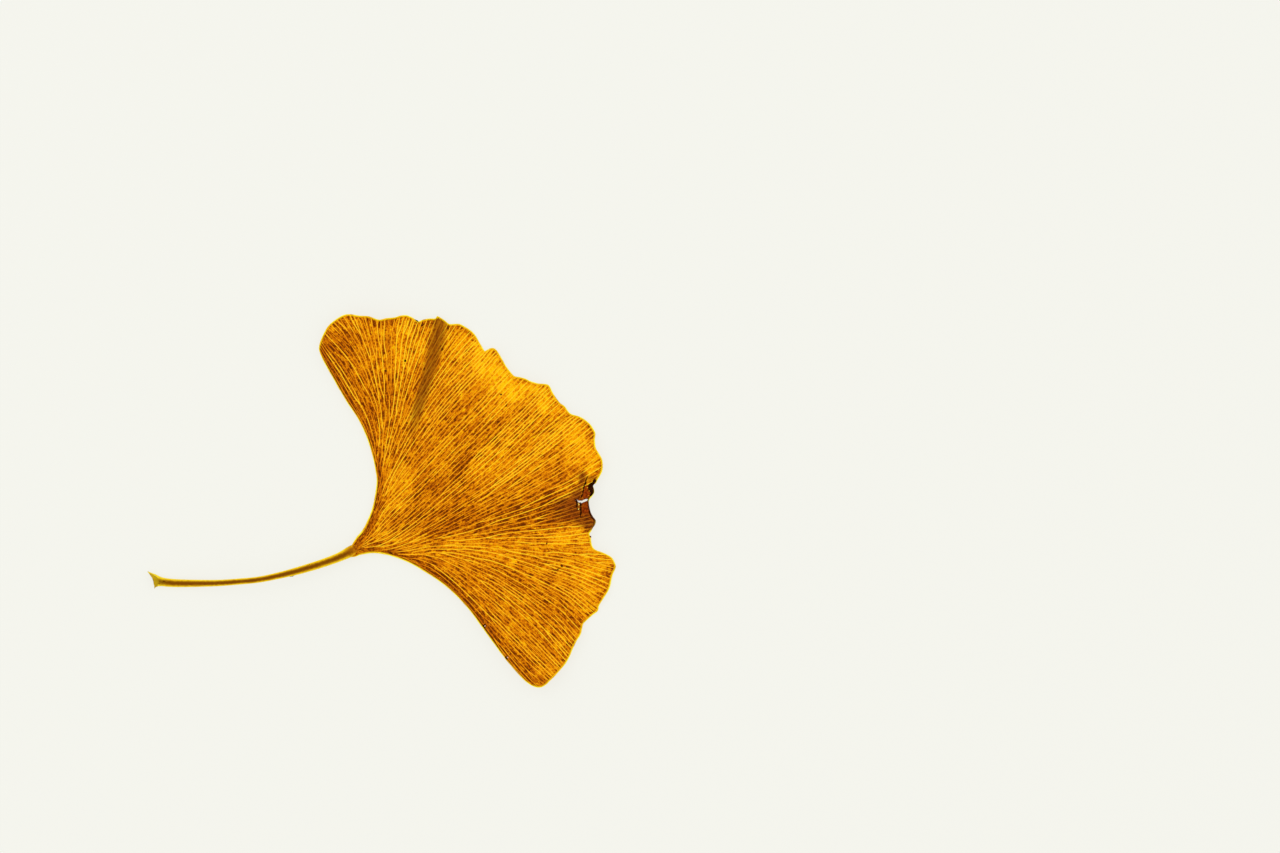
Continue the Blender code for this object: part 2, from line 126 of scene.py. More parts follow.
# Guide lines of the veins, from inside the stalk to the margin: the lower side first, the upper side last
veinGuides = [
    [(-0.7, -0.9), (0.46, -1.08), (1.36, -0.9), *lowerSide[3:]],
    [(-0.72, -0.87), (1.3, -0.87), (2.17, -0.42), (5.18, -0.06), (7.91, -0.54), (11.98, -1.48),
     (16.04, -2.82), (19.71, -5.43), (23.67, -9.13), (27.27, -12.84), (30.56, -16.31), (33.79, -19.67),
     (36.78, -22.73), (39.9, -25.66)],
    [(-0.74, -0.85), (1.2, -0.82), (2.22, -0.31), (5.18, 0.02), (7.87, -0.43), (11.98, -0.85),
     (15.98, -1.12), (19.89, -2.4), (24.08, -4.71), (28.28, -7.52), (32.03, -10.49), (35.74, -13.72),
     (39.24, -17.18), (43.4, -21.8)],
    [(-0.75, -0.83), (1.18, -0.76), (2.19, -0.22), (5.14, 0.09), (7.95, -0.34), (11.94, -0.4),
     (16.08, -0.04), (20.08, -0.28), (24.5, -1.26), (29.31, -2.79), (33.88, -4.92), (38.04, -7.28),
     (42.47, -9.96), (46.84, -14.16)],
    [(-0.77, -0.81), (1.11, -0.7), (2.15, -0.13), (5.22, 0.15), (7.87, -0.26), (11.89, -0.16),
     (16.03, 0.45), (20.06, 0.57), (25.28, 0.12), (30.42, -0.85), (35.47, -2.23), (40.26, -3.97),
     (45.3, -5.81), (51, -8.8)],
    [(-0.79, -0.79), (1.1, -0.62), (2.15, -0.03), (5.26, 0.21), (7.94, -0.19), (11.86, 0.06), (16.03, 0.78),
     (20.11, 1.04), (24.46, 0.98), (29.46, 0.53), (34.32, -0.06), (39.28, -0.89), (44.1, -1.68),
     (52.78, -3.8)],
    [(-0.81, -0.77), (1.05, -0.54), (2.25, 0.09), (5.25, 0.27), (7.85, -0.09), (11.83, 0.31), (16.03, 1.07),
     (20.03, 1.36), (23.66, 1.45), (28.41, 1.36), (33.16, 1.2), (38.03, 0.93), (42.78, 0.59), (48.9, 0.54)],
    [(-0.83, -0.75), (1.04, -0.45), (2.26, 0.19), (5.16, 0.35), (7.93, 0.02), (11.94, 0.6), (16.02, 1.56),
     (20.04, 2.16), (23.43, 2.59), (28.44, 3.29), (33.06, 3.99), (38.09, 4.5), (42.85, 5.14), (49.06, 6.34)],
    [(-0.84, -0.73), (0.95, -0.38), (2.19, 0.28), (5.17, 0.43), (7.88, 0.16), (11.83, 0.92), (15.94, 2.18),
     (19.98, 3.14), (23.5, 4.02), (28.31, 5.59), (32.91, 6.95), (37.57, 8.53), (42.12, 10.41),
     (48.56, 13.46)],
    [(-0.86, -0.71), (0.89, -0.31), (2.23, 0.39), (5.14, 0.51), (7.89, 0.3), (11.93, 1.3), (16, 2.75),
     (19.95, 4.06), (24.59, 5.88), (29.62, 8.18), (34.69, 10.38), (39.48, 12.86), (44.29, 15.58),
     (49.66, 19.7)],
    [(-0.88, -0.69), (0.89, -0.2), (2.26, 0.51), (5.22, 0.61), (7.89, 0.55), (11.8, 1.81), (15.92, 3.73),
     (19.8, 5.79), (23.85, 8.09), (28.89, 10.89), (33.53, 13.83), (38.31, 17.05), (43.19, 20.4),
     (48.46, 24.62)],
    [(-0.9, -0.66), (0.76, -0.11), (2.2, 0.62), (3.66, 0.87), (5.14, 0.91), (7.64, 1.39), (9.73, 2.33),
     (11.83, 3.55), (16.51, 6.77), (21.05, 10.14), (25.45, 13.44), (29.9, 16.9), (34.05, 20.51),
     (38.2, 24.31), (43.2, 28.58)],
    [(-0.94, -0.62), (0.64, 0.04), (2.74, 1.15), (4.84, 2.27), (6.57, 3.22), (8.6, 4.69), (10.73, 6.46),
     (12.83, 8.28), (17.09, 12.22), (21.52, 16.36), (25.6, 20.29), (30, 24.46), (34.17, 28.48), (39, 33.34)],
    [(-0.98, -0.56), (0.55, 0.25), (2.23, 1.89), (3.61, 3.47), (5.04, 6.07), (6.83, 8.86), (9.08, 11.33),
     (12.19, 14.54), (15.18, 17.82), (18.43, 21.36), (21.84, 24.93), (24.99, 28.23), (28.29, 31.73),
     (32.1, 35.76)],
    [(-0.98, -0.54), (0.54, 0.41), (2, 2.22), (3.38, 3.92), (4.68, 6.59), (5.9, 9.42), (7.76, 13.48),
     (9.27, 16.28), (11.71, 20.17), (14.19, 23.87), (16.58, 27.17), (19.2, 30.46), (21.99, 33.6),
     (24.86, 36.5), (28.6, 40.5)],
    [(-0.98, -0.48), (0.43, 0.46), (1.86, 2.31), (3.24, 4.05), (4.48, 6.65), (5.52, 9.49), (6.82, 13.74),
     (7.73, 16.73), (9.03, 20.26), (10.38, 23.47), (11.92, 26.6), (13.79, 30.14), (15.79, 33.46),
     (18.04, 36.93), (20.51, 40.4), (23.9, 44.3)],
    [(-0.99, -0.43), (0.36, 0.53), (1.74, 2.36), (3.18, 4.16), (4.37, 6.72), (5.37, 9.64), (6.41, 13.88),
     (7.03, 16.75), (7.97, 20.32), (9.05, 23.96), (10.24, 27.57), (11.32, 31.22), (12.42, 34.72),
     (13.83, 38.53), (15.34, 42.02), (17.1, 46.5)],
    [(-0.99, -0.37), (0.39, 0.69), (1.64, 2.4), (3.05, 4.14), (4.26, 6.76), (5.2, 9.63), (6.08, 13.93),
     (6.47, 16.65), (7.19, 20.45), (7.82, 24.24), (8.33, 27.81), (8.65, 31.64), (8.91, 35.23),
     (9.12, 38.95), (9.26, 42.79), (10.3, 47)],
    [(-1, -0.32), (0.26, 0.69), (1.58, 2.49), (2.99, 4.22), (4.14, 6.71), (5.07, 9.57), (5.83, 13.88),
     (6.1, 16.73), (6.53, 19.81), (6.73, 22.15), (6.87, 25.24), (6.75, 28.83), (6.17, 32.12), (5.56, 35.79),
     (4.98, 39.33), (4.17, 42.96), (3.1, 46.9)],
    [(-1, -0.26), (0.23, 0.8), (1.49, 2.51), (2.9, 4.27), (4.08, 6.76), (4.99, 9.64), (5.65, 13.87),
     (5.82, 16.62), (6.07, 18.99), (6.21, 21.62), (6.19, 24.36), (5.98, 26.35), (5.41, 29.17),
     (4.18, 32.57), (2.81, 35.8), (1.21, 38.76), (-0.91, 41.55), (-3.58, 44.18), (-4.2, 44.8)],
    [(-1, -0.2), (0.2, 0.9), *upperSide[3:]]]


def smoothLine(points, steps=14):
    # each span is a cubic between two points, its slopes half the step between their neighbours
    p = np.array(points, dtype=float)
    before = np.vstack([2 * p[0] - p[1], p[:-1]])
    after = np.vstack([p[1:], 2 * p[-1] - p[-2]])
    slope = (after - before) / 2
    s = np.linspace(0, 1, steps, endpoint=False)[:, None, None]
    line = ((2 * s**3 - 3 * s**2 + 1) * p[:-1] + (s**3 - 2 * s**2 + s) * slope[:-1]
            + (3 * s**2 - 2 * s**3) * p[1:] + (s**3 - s**2) * slope[1:])
    return np.vstack([line.transpose(1, 0, 2).reshape(-1, p.shape[1]), p[-1]])


def smoothStep(value, low, high):
    # 0 below low, 1 above high, and 3 s squared less 2 s cubed between
    s = np.clip((value - low) / (high - low), 0, 1)
    return s * s * (3 - 2 * s)


def polar(x, y):
    # radius and angle about the fan's centre
    x, y = x - bladeShape["fanCentre"][0], y - bladeShape["fanCentre"][1]
    return np.hypot(x, y), np.arctan2(y, x)


upperRadius, upperAngle = polar(*smoothLine(upperSide).T)
lowerRadius, lowerAngle = polar(*smoothLine(lowerSide).T)


def fanAngles(radius):
    # middle angle and half spread of the fan, read off its two sides at that radius
    upper = np.interp(radius, upperRadius, upperAngle)
    lower = np.interp(radius, lowerRadius, lowerAngle)
    return (upper + lower) / 2, (upper - lower) / 2


def marginReach():
    # the margin's radius against its place across the fan, kept single valued
    radius, angle = polar(*smoothLine(outerMargin).T)
    middle, half = fanAngles(radius)
    across = np.minimum.accumulate(np.clip((angle - middle) / half, -1, 1))
    order = np.argsort(across, kind="stable")
    return across[order], radius[order]


reachAcross, reachRadius = marginReach()


def reachAt(across):
    # the margin's radius at that place across the fan
    return np.interp(across, reachAcross, reachRadius)


def cloud(x, y, size, seed):
    # random numbers on a square lattice of that size, blended between lattice points by smooth steps;
    # the lattice repeats after 96 squares, and its start is moved away from the leaf's
    cells, startX, startY = 96, 37.3, 41.7
    lattice = np.random.default_rng(seed).random((cells + 1, cells + 1))
    gx, gy = np.mod(x / size + startX, cells), np.mod(y / size + startY, cells)
    ix, iy = np.floor(gx).astype(int), np.floor(gy).astype(int)
    fx, fy = smoothStep(gx - ix, 0, 1), smoothStep(gy - iy, 0, 1)
    low = lattice[ix, iy] * (1 - fx) + lattice[ix + 1, iy] * fx
    high = lattice[ix, iy + 1] * (1 - fx) + lattice[ix + 1, iy + 1] * fx
    return low * (1 - fy) + high * fy


def underside(across, radius):
    # height of the blade's underside: a shallow cup, radial waves, a ruffled margin, one pleat and
    # fine wrinkles, never below the surface that the leaf lies on
    s = bladeShape
    spread = fanAngles(radius)[1]
    cup = s["cupHeight"] * np.abs(1 - radius / s["cupRadius"]) ** s["cupPower"]
    middle = s["middleLift"] * np.clip(1 - (across / s["middleReach"]) ** 2, 0, 1)
    passed = np.interp(across, s["wavePlaces"], s["waveCounts"])
    ridges = np.interp(across, s["ridgePlaces"], s["ridgeHeights"])
    waves = (0.5 - 0.5 * np.cos(2 * math.pi * passed)) * ridges
    waves = waves * smoothStep(radius, *s["ridgeRise"])
    edge = np.clip(1 - (reachAt(across) - radius) / s["ruffleReach"], 0, 1) ** 2
    ripple = np.sin(2 * math.pi * s["ruffleWaves"] * across + s["ruffleShift"])
    ruffle = s["ruffleHeight"] * edge * (s["ruffleLift"] + ripple)
    place = s["pleatPlace"] + s["pleatSwing"] * smoothStep(radius, *s["swing"])
    pleat = np.exp(-((across - place) * spread * radius / s["pleatWidth"]) ** 2)
    pleat = s["pleatHeight"] * pleat * smoothStep(radius, *s["pleatRise"])
    fine = sum(cloud(across * many, radius / long, 1.0, seed) for many, long, seed in s["wrinkles"]) - 1
    fine = s["wrinkle"] * fine * smoothStep(radius, *s["wrinkleRise"])
    free = smoothStep(radius, s["start"], s["free"])
    height = np.maximum(cup + middle + waves + ruffle + pleat - s["settle"], 0) + s["startLift"] * (1 - free)
    return np.maximum(height + fine, 0)


def thicknessAt(across, radius):
    # thin over the blade, thinner still in the last stretch before the margin, thick beside the stalk
    s = bladeShape
    free = smoothStep(radius, s["start"], s["free"])
    body = s["thickness"] + s["baseThickness"] * free * np.exp(-(radius - s["start"]) / s["baseLength"])
    near = np.clip(1 - (reachAt(across) - radius) / s["marginBand"], 0, 1) ** 2
    return body - (s["thickness"] - s["marginThickness"]) * near


def placeOf(x, y):
    # share across the solid's fan and radius about its centre, for the heights
    s = bladeShape
    radius, angle = polar(x, y)
    middle, half = fanAngles(radius)
    free = smoothStep(radius, s["start"], s["free"])
    across = (angle - middle) / (half * (s["startWidth"] + (1 - s["startWidth"]) * free))
    return np.clip(across, -1, 1), radius


def surfaces(x, y):
    # heights of the blade's two faces
    across, radius = placeOf(x, y)
    low = underside(across, radius)
    return low, low + thicknessAt(across, radius)


def lengthAlong(line):
    # sum of the steps from point to point, seen from above
    return np.concatenate([[0], np.cumsum(np.hypot(*np.diff(line[:, :2], axis=0).T))])


def evenly(line, count):
    # points at equal steps along a line
    run = lengthAlong(line)
    stops = np.linspace(0, run[-1], count)
    return np.stack([np.interp(stops, run, column) for column in line.T], 1)


# every guide cut into equal shares, and the slope of the step from guide to guide, limited by the
# smaller neighbouring step so that the fan never folds over
guideLines = np.array([evenly(smoothLine(g), bladeShape["shares"]) for g in veinGuides])
guideSteps = np.diff(guideLines, axis=0)
stepSizes = np.linalg.norm(guideSteps, axis=2)[..., None] + 1e-9
guideSlopes = np.concatenate([
    guideSteps[:1],
    (stepSizes[1:] * guideSteps[:-1] + stepSizes[:-1] * guideSteps[1:]) / (stepSizes[1:] + stepSizes[:-1]),
    guideSteps[-1:]])
marginLine = smoothLine(outerMargin)[::-1]
marginRun = lengthAlong(marginLine)
guideEnds = marginRun[[int(np.argmin(np.hypot(*(marginLine - g[-1]).T))) for g in guideLines]]


def onBlade(across, share):
    # x, y of a place of the fan: across is -1 at the lower side and 1 at the upper one, share is 0 in
    # the stalk and 1 at the margin. Between two guides it is a cubic across; what that misses of the
    # notched margin is added with a power of the share.
    across, share = np.broadcast_arrays(across, share)
    place = (across + 1) / 2 * (len(guideLines) - 1)
    near = np.clip(np.floor(place).astype(int), 0, len(guideLines) - 2)
    f = (place - near)[..., None]
    steps = bladeShape["shares"] - 1
    row = np.clip(np.floor(share * steps).astype(int), 0, steps - 1)
    h = (share * steps - row)[..., None]
    parts = ((near, guideLines, 2 * f**3 - 3 * f**2 + 1), (near, guideSlopes, f**3 - 2 * f**2 + f),
             (near + 1, guideLines, 3 * f**2 - 2 * f**3), (near + 1, guideSlopes, f**3 - f**2))
    found, last = 0, 0
    for index, table, weight in parts:
        found = found + weight * (table[index, row] * (1 - h) + table[index, row + 1] * h)
        last = last + weight * table[index, -1]
    at = np.interp(place, np.arange(len(guideLines)), guideEnds)
    edge = np.stack([np.interp(at, marginRun, marginLine[:, i]) for i in range(2)], -1)
    found = found + (edge - last) * share[..., None] ** bladeShape["notchPower"]
    return found[..., 0], found[..., 1]


# Places across the fan and shares along it at which the room for veins is tabled
roomPlaces = np.linspace(-1, 1, 401)
roomShares = np.linspace(0, 1, 201)


def roomTables():
    # width of the fan square to its veins, per unit across and summed up from the lower side
    x, y = onBlade(*np.meshgrid(roomPlaces, roomShares))
    step = 2 / (len(roomPlaces) - 1)
    acrossX, acrossY = np.gradient(x, axis=1) / step, np.gradient(y, axis=1) / step
    alongX, alongY = np.gradient(x, axis=0), np.gradient(y, axis=0)
    width = np.abs(acrossX * alongY - acrossY * alongX) / np.hypot(alongX, alongY)
    summed = np.cumsum((width[:, 1:] + width[:, :-1]) * (step / 2), axis=1)
    return width, np.concatenate([np.zeros((len(roomShares), 1)), summed], 1)


fanWidth, fanRoom = roomTables()


def tableAt(table, across, share):
    # a room table's value at any place, blended between its four nearest entries
    rows, columns = len(roomShares) - 1, len(roomPlaces) - 1
    c = np.clip((across + 1) / 2 * columns, 0, columns - 0.001)
    r = np.clip(share * rows, 0, rows - 0.001)
    i, j = c.astype(int), r.astype(int)
    f, h = c - i, r - j
    return ((table[j, i] * (1 - f) + table[j, i + 1] * f) * (1 - h)
            + (table[j + 1, i] * (1 - f) + table[j + 1, i + 1] * f) * h)


def distanceTo(line, x, y):
    # from each point to the nearest of a line's closely set points, some of the points at a time
    flat = np.stack([np.ravel(x), np.ravel(y)], 1)
    found = [np.sqrt(((part[:, None] - line[None]) ** 2).sum(2).min(1)) for part in np.array_split(flat, 24)]
    return np.concatenate(found).reshape(np.shape(x))


marginDots = evenly(marginLine, bladeShape["marginDots"])
sideDots = np.vstack([evenly(guideLines[side], bladeShape["sideDots"]) for side in (0, -1)])


def sideways(x, y, width, factors):
    # a line's points moved square to it, to its left, by its width there times each factor
    dx, dy = np.gradient(x), np.gradient(y)
    length = np.hypot(dx, dy)
    return (x[:, None] - (dy / length * width)[:, None] * factors,
            y[:, None] + (dx / length * width)[:, None] * factors)


def turns(sides):
    # angles at equal steps round a full circle
    return np.linspace(0, 2 * math.pi, sides, endpoint=False)


def addObject(name, data):
    # an object at the origin that shows that mesh, lamp or camera
    made = bpy.data.objects.new(name, data)
    bpy.context.scene.collection.objects.link(made)
    return made


def asPoints(x, y, z):
    # grids of coordinates as one list of points, row by row
    return np.stack([x, y, z], 2).reshape(-1, 3)


def makePiece(name, points, faces, material, floats=None, uv=None, sharp=False, tidy=False):
    # points in millimetres from the base point become a mesh in metres; floats are point attributes
    base = bladeShape["basePoint"]
    co = (np.asarray(points) + (base[0], base[1], 0.0)) * mm
    mesh = bpy.data.meshes.new(name)
    mesh.from_pydata(co.tolist(), [], [tuple(f) for f in faces])
    for key, values in (floats or {}).items():
        mesh.attributes.new(key, "FLOAT", "POINT").data.foreach_set("value", np.asarray(values, np.float32))
    if uv is not None:
        corner = np.zeros(len(mesh.loops), dtype=np.int32)
        mesh.loops.foreach_get("vertex_index", corner)
        layer = mesh.uv_layers.new(name="fan")
        layer.data.foreach_set("uv", np.asarray(uv, np.float32)[corner].ravel())
    mesh.materials.append(material)
    if tidy:
        # face normals turned outwards, loose points dropped
        work = bmesh.new()
        work.from_mesh(mesh)
        bmesh.ops.delete(work, geom=[v for v in work.verts if not v.link_faces], context="VERTS")
        bmesh.ops.recalc_face_normals(work, faces=work.faces)
        work.to_mesh(mesh)
        work.free()
    mesh.shade_smooth()
    if sharp:
        mesh.set_sharp_from_angle(angle=math.radians(40))
    mesh.validate()
    return addObject(name, mesh)


def gridFaces(rows, columns, first=0, flip=False):
    # quads of a grid whose points are stored row by row
    r, c = np.meshgrid(np.arange(rows - 1), np.arange(columns - 1), indexing="ij")
    a = (first + r * columns + c).ravel()
    quads = np.stack([a, a + 1, a + 1 + columns, a + columns], 1)
    return quads[:, ::-1] if flip else quads


def tubeFaces(stations, sides):
    # quads round a tube of rings stored one after another, with a cap at each end
    r, c = np.meshgrid(np.arange(stations - 1), np.arange(sides), indexing="ij")
    a, b = (r * sides + c).ravel(), (r * sides + (c + 1) % sides).ravel()
    quads = np.stack([a, a + sides, b + sides, b], 1)
    start = np.arange(sides)
    end = (stations - 1) * sides + start[::-1]
    return quads.tolist() + [start.tolist(), end.tolist()]


def joinShapes(shapes):
    # the points of all shapes in one list, with their faces renumbered to it
    points, faces, count = [], [], 0
    for shapePoints, shapeFaces in shapes:
        points.append(shapePoints)
        faces += [[i + count for i in face] for face in shapeFaces]
        count += len(shapePoints)
    return np.vstack(points), faces


# Soft spots where the blade is darker or lighter: x, y, half length, half width, turn in degrees, strength.
# A positive strength is brown, a negative one is where the blade stays clear yellow.
toneSpots = {
    "spots": [
        (-3.0, 40.0, 5.5, 3.0, 60, 0.8), (1.0, 34.0, 7.0, 4.5, 105, 0.28), (20.5, 26.5, 5.0, 3.5, 50, 0.3),
        (22.5, 14.5, 4.0, 1.8, 55, 0.9), (14.5, 11.5, 4.5, 2.4, 50, 0.6), (27.0, 23.0, 8.0, 4.0, 45, 0.2),
        (35.0, 7.5, 9.0, 2.6, 8, 0.6), (43.0, 8.0, 5.0, 3.2, 5, 0.75), (20.0, 6.6, 6.0, 2.6, 22, 0.85),
        (27.5, 7.0, 5.0, 2.6, 12, 0.25), (12.0, 6.3, 4.5, 2.2, 30, 0.6), (12.0, 22.0, 4.5, 3.0, 60, 0.35),
        (6.0, 29.5, 6.0, 3.6, 85, 0.4), (17.5, -3.0, 6.0, 2.4, -15, 0.3), (30.0, -6.5, 9.0, 4.0, -25, 0.25),
        (25.0, -11.0, 10.0, 2.2, -48, 0.4), (36.5, -23.0, 4.5, 2.4, -50, 0.5),
        (43.0, -16.0, 7.0, 2.2, -62, 0.2), (8.0, 44.0, 3.0, 4.0, 90, 0.15), (42.0, 14.5, 3.0, 2.5, 0, 0.3),
        (33.0, 13.5, 6.0, 2.2, 30, 0.2), (11.5, 42.5, 3.6, 2.2, 90, -0.5),
        (27.0, 38.0, 7.0, 3.4, -45, -1.0), (35.5, 31.5, 6.5, 2.6, -28, -0.9),
        (45.5, 21.5, 4.5, 3.6, -60, -0.8), (44.0, 1.6, 5.0, 1.8, 0, -0.8), (30.0, 17.5, 6.0, 2.4, 40, -0.4),
        (29.0, 30.0, 5.0, 4.0, 45, -0.45), (28.0, -1.5, 5.0, 2.6, 0, -0.5),
        (10.0, 13.0, 6.0, 1.4, 70, -0.5), (20.5, 1.6, 6.0, 1.2, 5, -0.4), (49.0, -4.5, 2.2, 3.2, 0, -0.6),
        (49.2, 17.0, 1.6, 2.6, 0, -0.7), (38.0, -9.5, 8.0, 3.6, -35, 0.28),
        (35.0, -17.0, 4.0, 3.0, -50, 0.15), (14.0, 34.0, 5.0, 2.6, 75, 0.3),
        (20.0, 22.0, 4.0, 1.6, 45, -0.25), (47.0, -10.0, 3.0, 2.0, -60, -0.25),
    ],
    "warp": 4.4,                     # how far a cloud of that size and seed shifts the spots' places
    "warpSize": 3.1,
    "seed": 21,
}


# The scorched place at the margin: how brown the blade is round it, in spots as above, the outline
# of the slit torn through the blade, and the burnt crusts, cracks and bits round that
scorch = {
    "spots": [(45.9, 11.2, 1.5, 1.9, 0, 0.6), (46.3, 8.6, 2.2, 2.4, 0, 0.62), (43.8, 9.9, 2.8, 1.2, 5, 0.55),
              (47.6, 6.6, 1.4, 2.2, -30, 0.5), (41.5, 8.2, 5.0, 2.8, 5, 0.26), (48.6, 14.6, 0.9, 0.8, 0, 0.5),
              (46.7, 14.6, 0.9, 1.6, -15, 0.42), (48.7, 5.2, 1.5, 1.2, 0, 0.5), (47.9, 7.6, 1.8, 1.8, 0, 0.4),
              (45.8, 15.2, 1.5, 1.1, 0, 0.3), (43.0, 6.6, 4.5, 1.6, 5, 0.22)],
    "warp": 0.7,
    "warpSize": 0.9,
    "seed": 31,
    "slit": [(45.0, 10.52), (45.5, 10.34), (45.9, 10.18), (46.4, 10.2), (47.0, 10.46), (47.55, 10.6),
             (47.6, 10.3), (47.0, 9.98), (46.5, 9.78), (46.0, 9.78), (45.6, 10.02), (45.2, 10.3)],
    "slitPlace": (46.3, 10.2),
    "slitShare": 0.95,               # share of the guides at which the slit lies
    "slitReach": 0.018,              # the blade's grid is finer this far across on both sides of it
    "slitColumns": 31,
    "slitClear": 0.16,               # veins end this far from the slit
    # outline, height above the blade, tint
    "crusts": [
        ([(46.45, 11.0), (46.7, 11.9), (46.95, 12.9), (47.2, 13.6), (47.75, 13.2), (47.8, 12.2), (48.2, 11.6),
          (47.95, 11.1), (47.4, 10.72), (46.9, 10.62)], 0.03, "ruddy"),
        ([(46.45, 9.8), (46.95, 9.95), (47.5, 10.15), (47.72, 9.6), (47.8, 8.6), (47.9, 7.9), (47.2, 7.6),
          (46.4, 7.9), (46.3, 8.8)], 0.03, "ruddy"),
        ([(47.75, 13.5), (48.1, 13.75), (48.5, 13.95), (48.8, 14.5), (49.2, 14.45), (49.3, 14.1),
          (48.9, 13.75), (48.55, 13.35), (48.75, 12.7), (48.85, 12.0), (48.6, 11.45), (48.15, 11.05),
          (47.95, 11.15), (48.2, 11.6), (47.9, 12.1), (47.65, 12.7), (47.6, 13.2)], 0.12, "char"),
    ],
    # line, half width in its middle, tint
    "cracks": [
        ([(47.62, 15.1), (47.3, 14.5), (47.08, 13.64), (46.8, 12.88), (46.64, 11.9), (46.3, 10.95),
          (46.15, 10.5)], 0.2, "char"),
        ([(45.0, 10.55), (45.3, 10.25), (45.45, 9.6), (45.42, 8.9), (45.65, 8.4)], 0.2, "char"),
        ([(46.15, 9.9), (46.2, 9.2), (46.25, 8.4), (46.2, 7.7), (46.05, 6.85)], 0.24, "char"),
        ([(48.05, 11.1), (47.72, 10.6), (47.6, 9.9), (47.63, 9.0), (47.86, 8.0), (48.3, 7.0), (48.83, 6.25),
          (48.7, 5.4)], 0.16, "char"),
        ([(44.2, 27.3), (42.5, 26.6), (39.4, 24.5), (35.6, 22.6)], 0.08, "brown"),
        ([(13.0, 46.35), (13.5, 46.1), (13.9, 45.75)], 0.09, "char"),
        ([(6.05, 16.6), (6.12, 15.8), (6.05, 15.1)], 0.1, "char"),
    ],
    # x, y, radius, tint
    "bits": [(45.82, 9.42, 0.17, "bit"), (45.76, 8.54, 0.16, "bit"), (45.7, 9.7, 0.1, "bit")],
}


def softSpots(x, y, look):
    # sum of soft spots, each its strength times exp of minus its squared distance in its own turned
    # axes, at places that a cloud has shifted
    wx = x + look["warp"] * (cloud(x, y, look["warpSize"], look["seed"]) - 0.5)
    wy = y + look["warp"] * (cloud(x, y, look["warpSize"], look["seed"] + 1) - 0.5)
    total = np.zeros(np.shape(x))
    for cx, cy, long, short, turn, strength in look["spots"]:
        t = math.radians(turn)
        along = (wx - cx) * math.cos(t) + (wy - cy) * math.sin(t)
        beside = (wy - cy) * math.cos(t) - (wx - cx) * math.sin(t)
        total += strength * np.exp(-(along / long) ** 2 - (beside / short) ** 2)
    return total


def insideSlit(x, y):
    # counts how often a line to the right crosses the slit's outline
    crossings = np.zeros(np.shape(x), dtype=int)
    line = np.array(scorch["slit"])
    for (ax, ay), (bx, by) in zip(line, np.roll(line, -1, axis=0)):
        spans = (ay > y) != (by > y)
        if ay != by:
            crossings += spans & (x < ax + (y - ay) * (bx - ax) / (by - ay))
    return crossings % 2 == 1


pleatLook = {
    # points of the middle line of the pleat's painted shade, a darker band, with its half width there, from
    # the margin inwards
    "band": [
        (18.3, 47.2, 1.1), (17.7, 43.3, 1.3), (16.9, 40.3, 1.3), (16.2, 37.3, 1.2), (15.3, 34.3, 1.1),
        (14.4, 31.3, 1.0), (13.7, 28.8, 1.0), (13.1, 26.5, 0.95), (12.4, 24.0, 0.8), (11.7, 21.6, 0.6),
    ],
    "dots": 90,                      # places along the band that distances are taken to
    "softness": 0.6,                 # a larger one makes the band's sides fade sooner
    "fade": 3.6,                     # the inner end fades over the length divided by this
    "box": ((9, 20), (22, 60)),      # the band lies within these corners
}


def pleatShade(x, y):
    # painted shade along the pleat's fold: 1 over the band, times exp of minus the fourth power of
    # the distance in half widths, fading at its inner end
    look = pleatLook
    line = evenly(smoothLine(look["band"], 8), look["dots"])
    flat = np.stack([np.ravel(x), np.ravel(y)], 1)
    shade = np.zeros(len(flat))
    close = np.flatnonzero(((flat > look["box"][0]) & (flat < look["box"][1])).all(1))
    if len(close):
        gaps = np.hypot(flat[close, None, 0] - line[None, :, 0], flat[close, None, 1] - line[None, :, 1])
        near = gaps.argmin(1)
        gap = gaps[np.arange(len(close)), near] / line[near, 2]
        fade = np.minimum(1, (1 - near / (look["dots"] - 1)) * look["fade"])
        shade[close] = np.exp(-gap ** 4 * look["softness"]) * fade
    return shade.reshape(np.shape(x))


def leafFloats(x, y, across, share):
    # what the materials read at each point: the soft spots' darkening, the scorch and the pleat's painted
    # shade as strengths, the distances to the outer margin and to the two sides, and the fan's width as a
    # power of 2
    return {
        "stain": softSpots(x, y, toneSpots),
        "scorch": softSpots(x, y, scorch),
        "pleat": pleatShade(x, y),
        "edge": distanceTo(marginDots, x, y),
        "side": distanceTo(sideDots, x, y),
        "spread": np.log2(np.maximum(tableAt(fanWidth, across, share), 0.5)),
    }


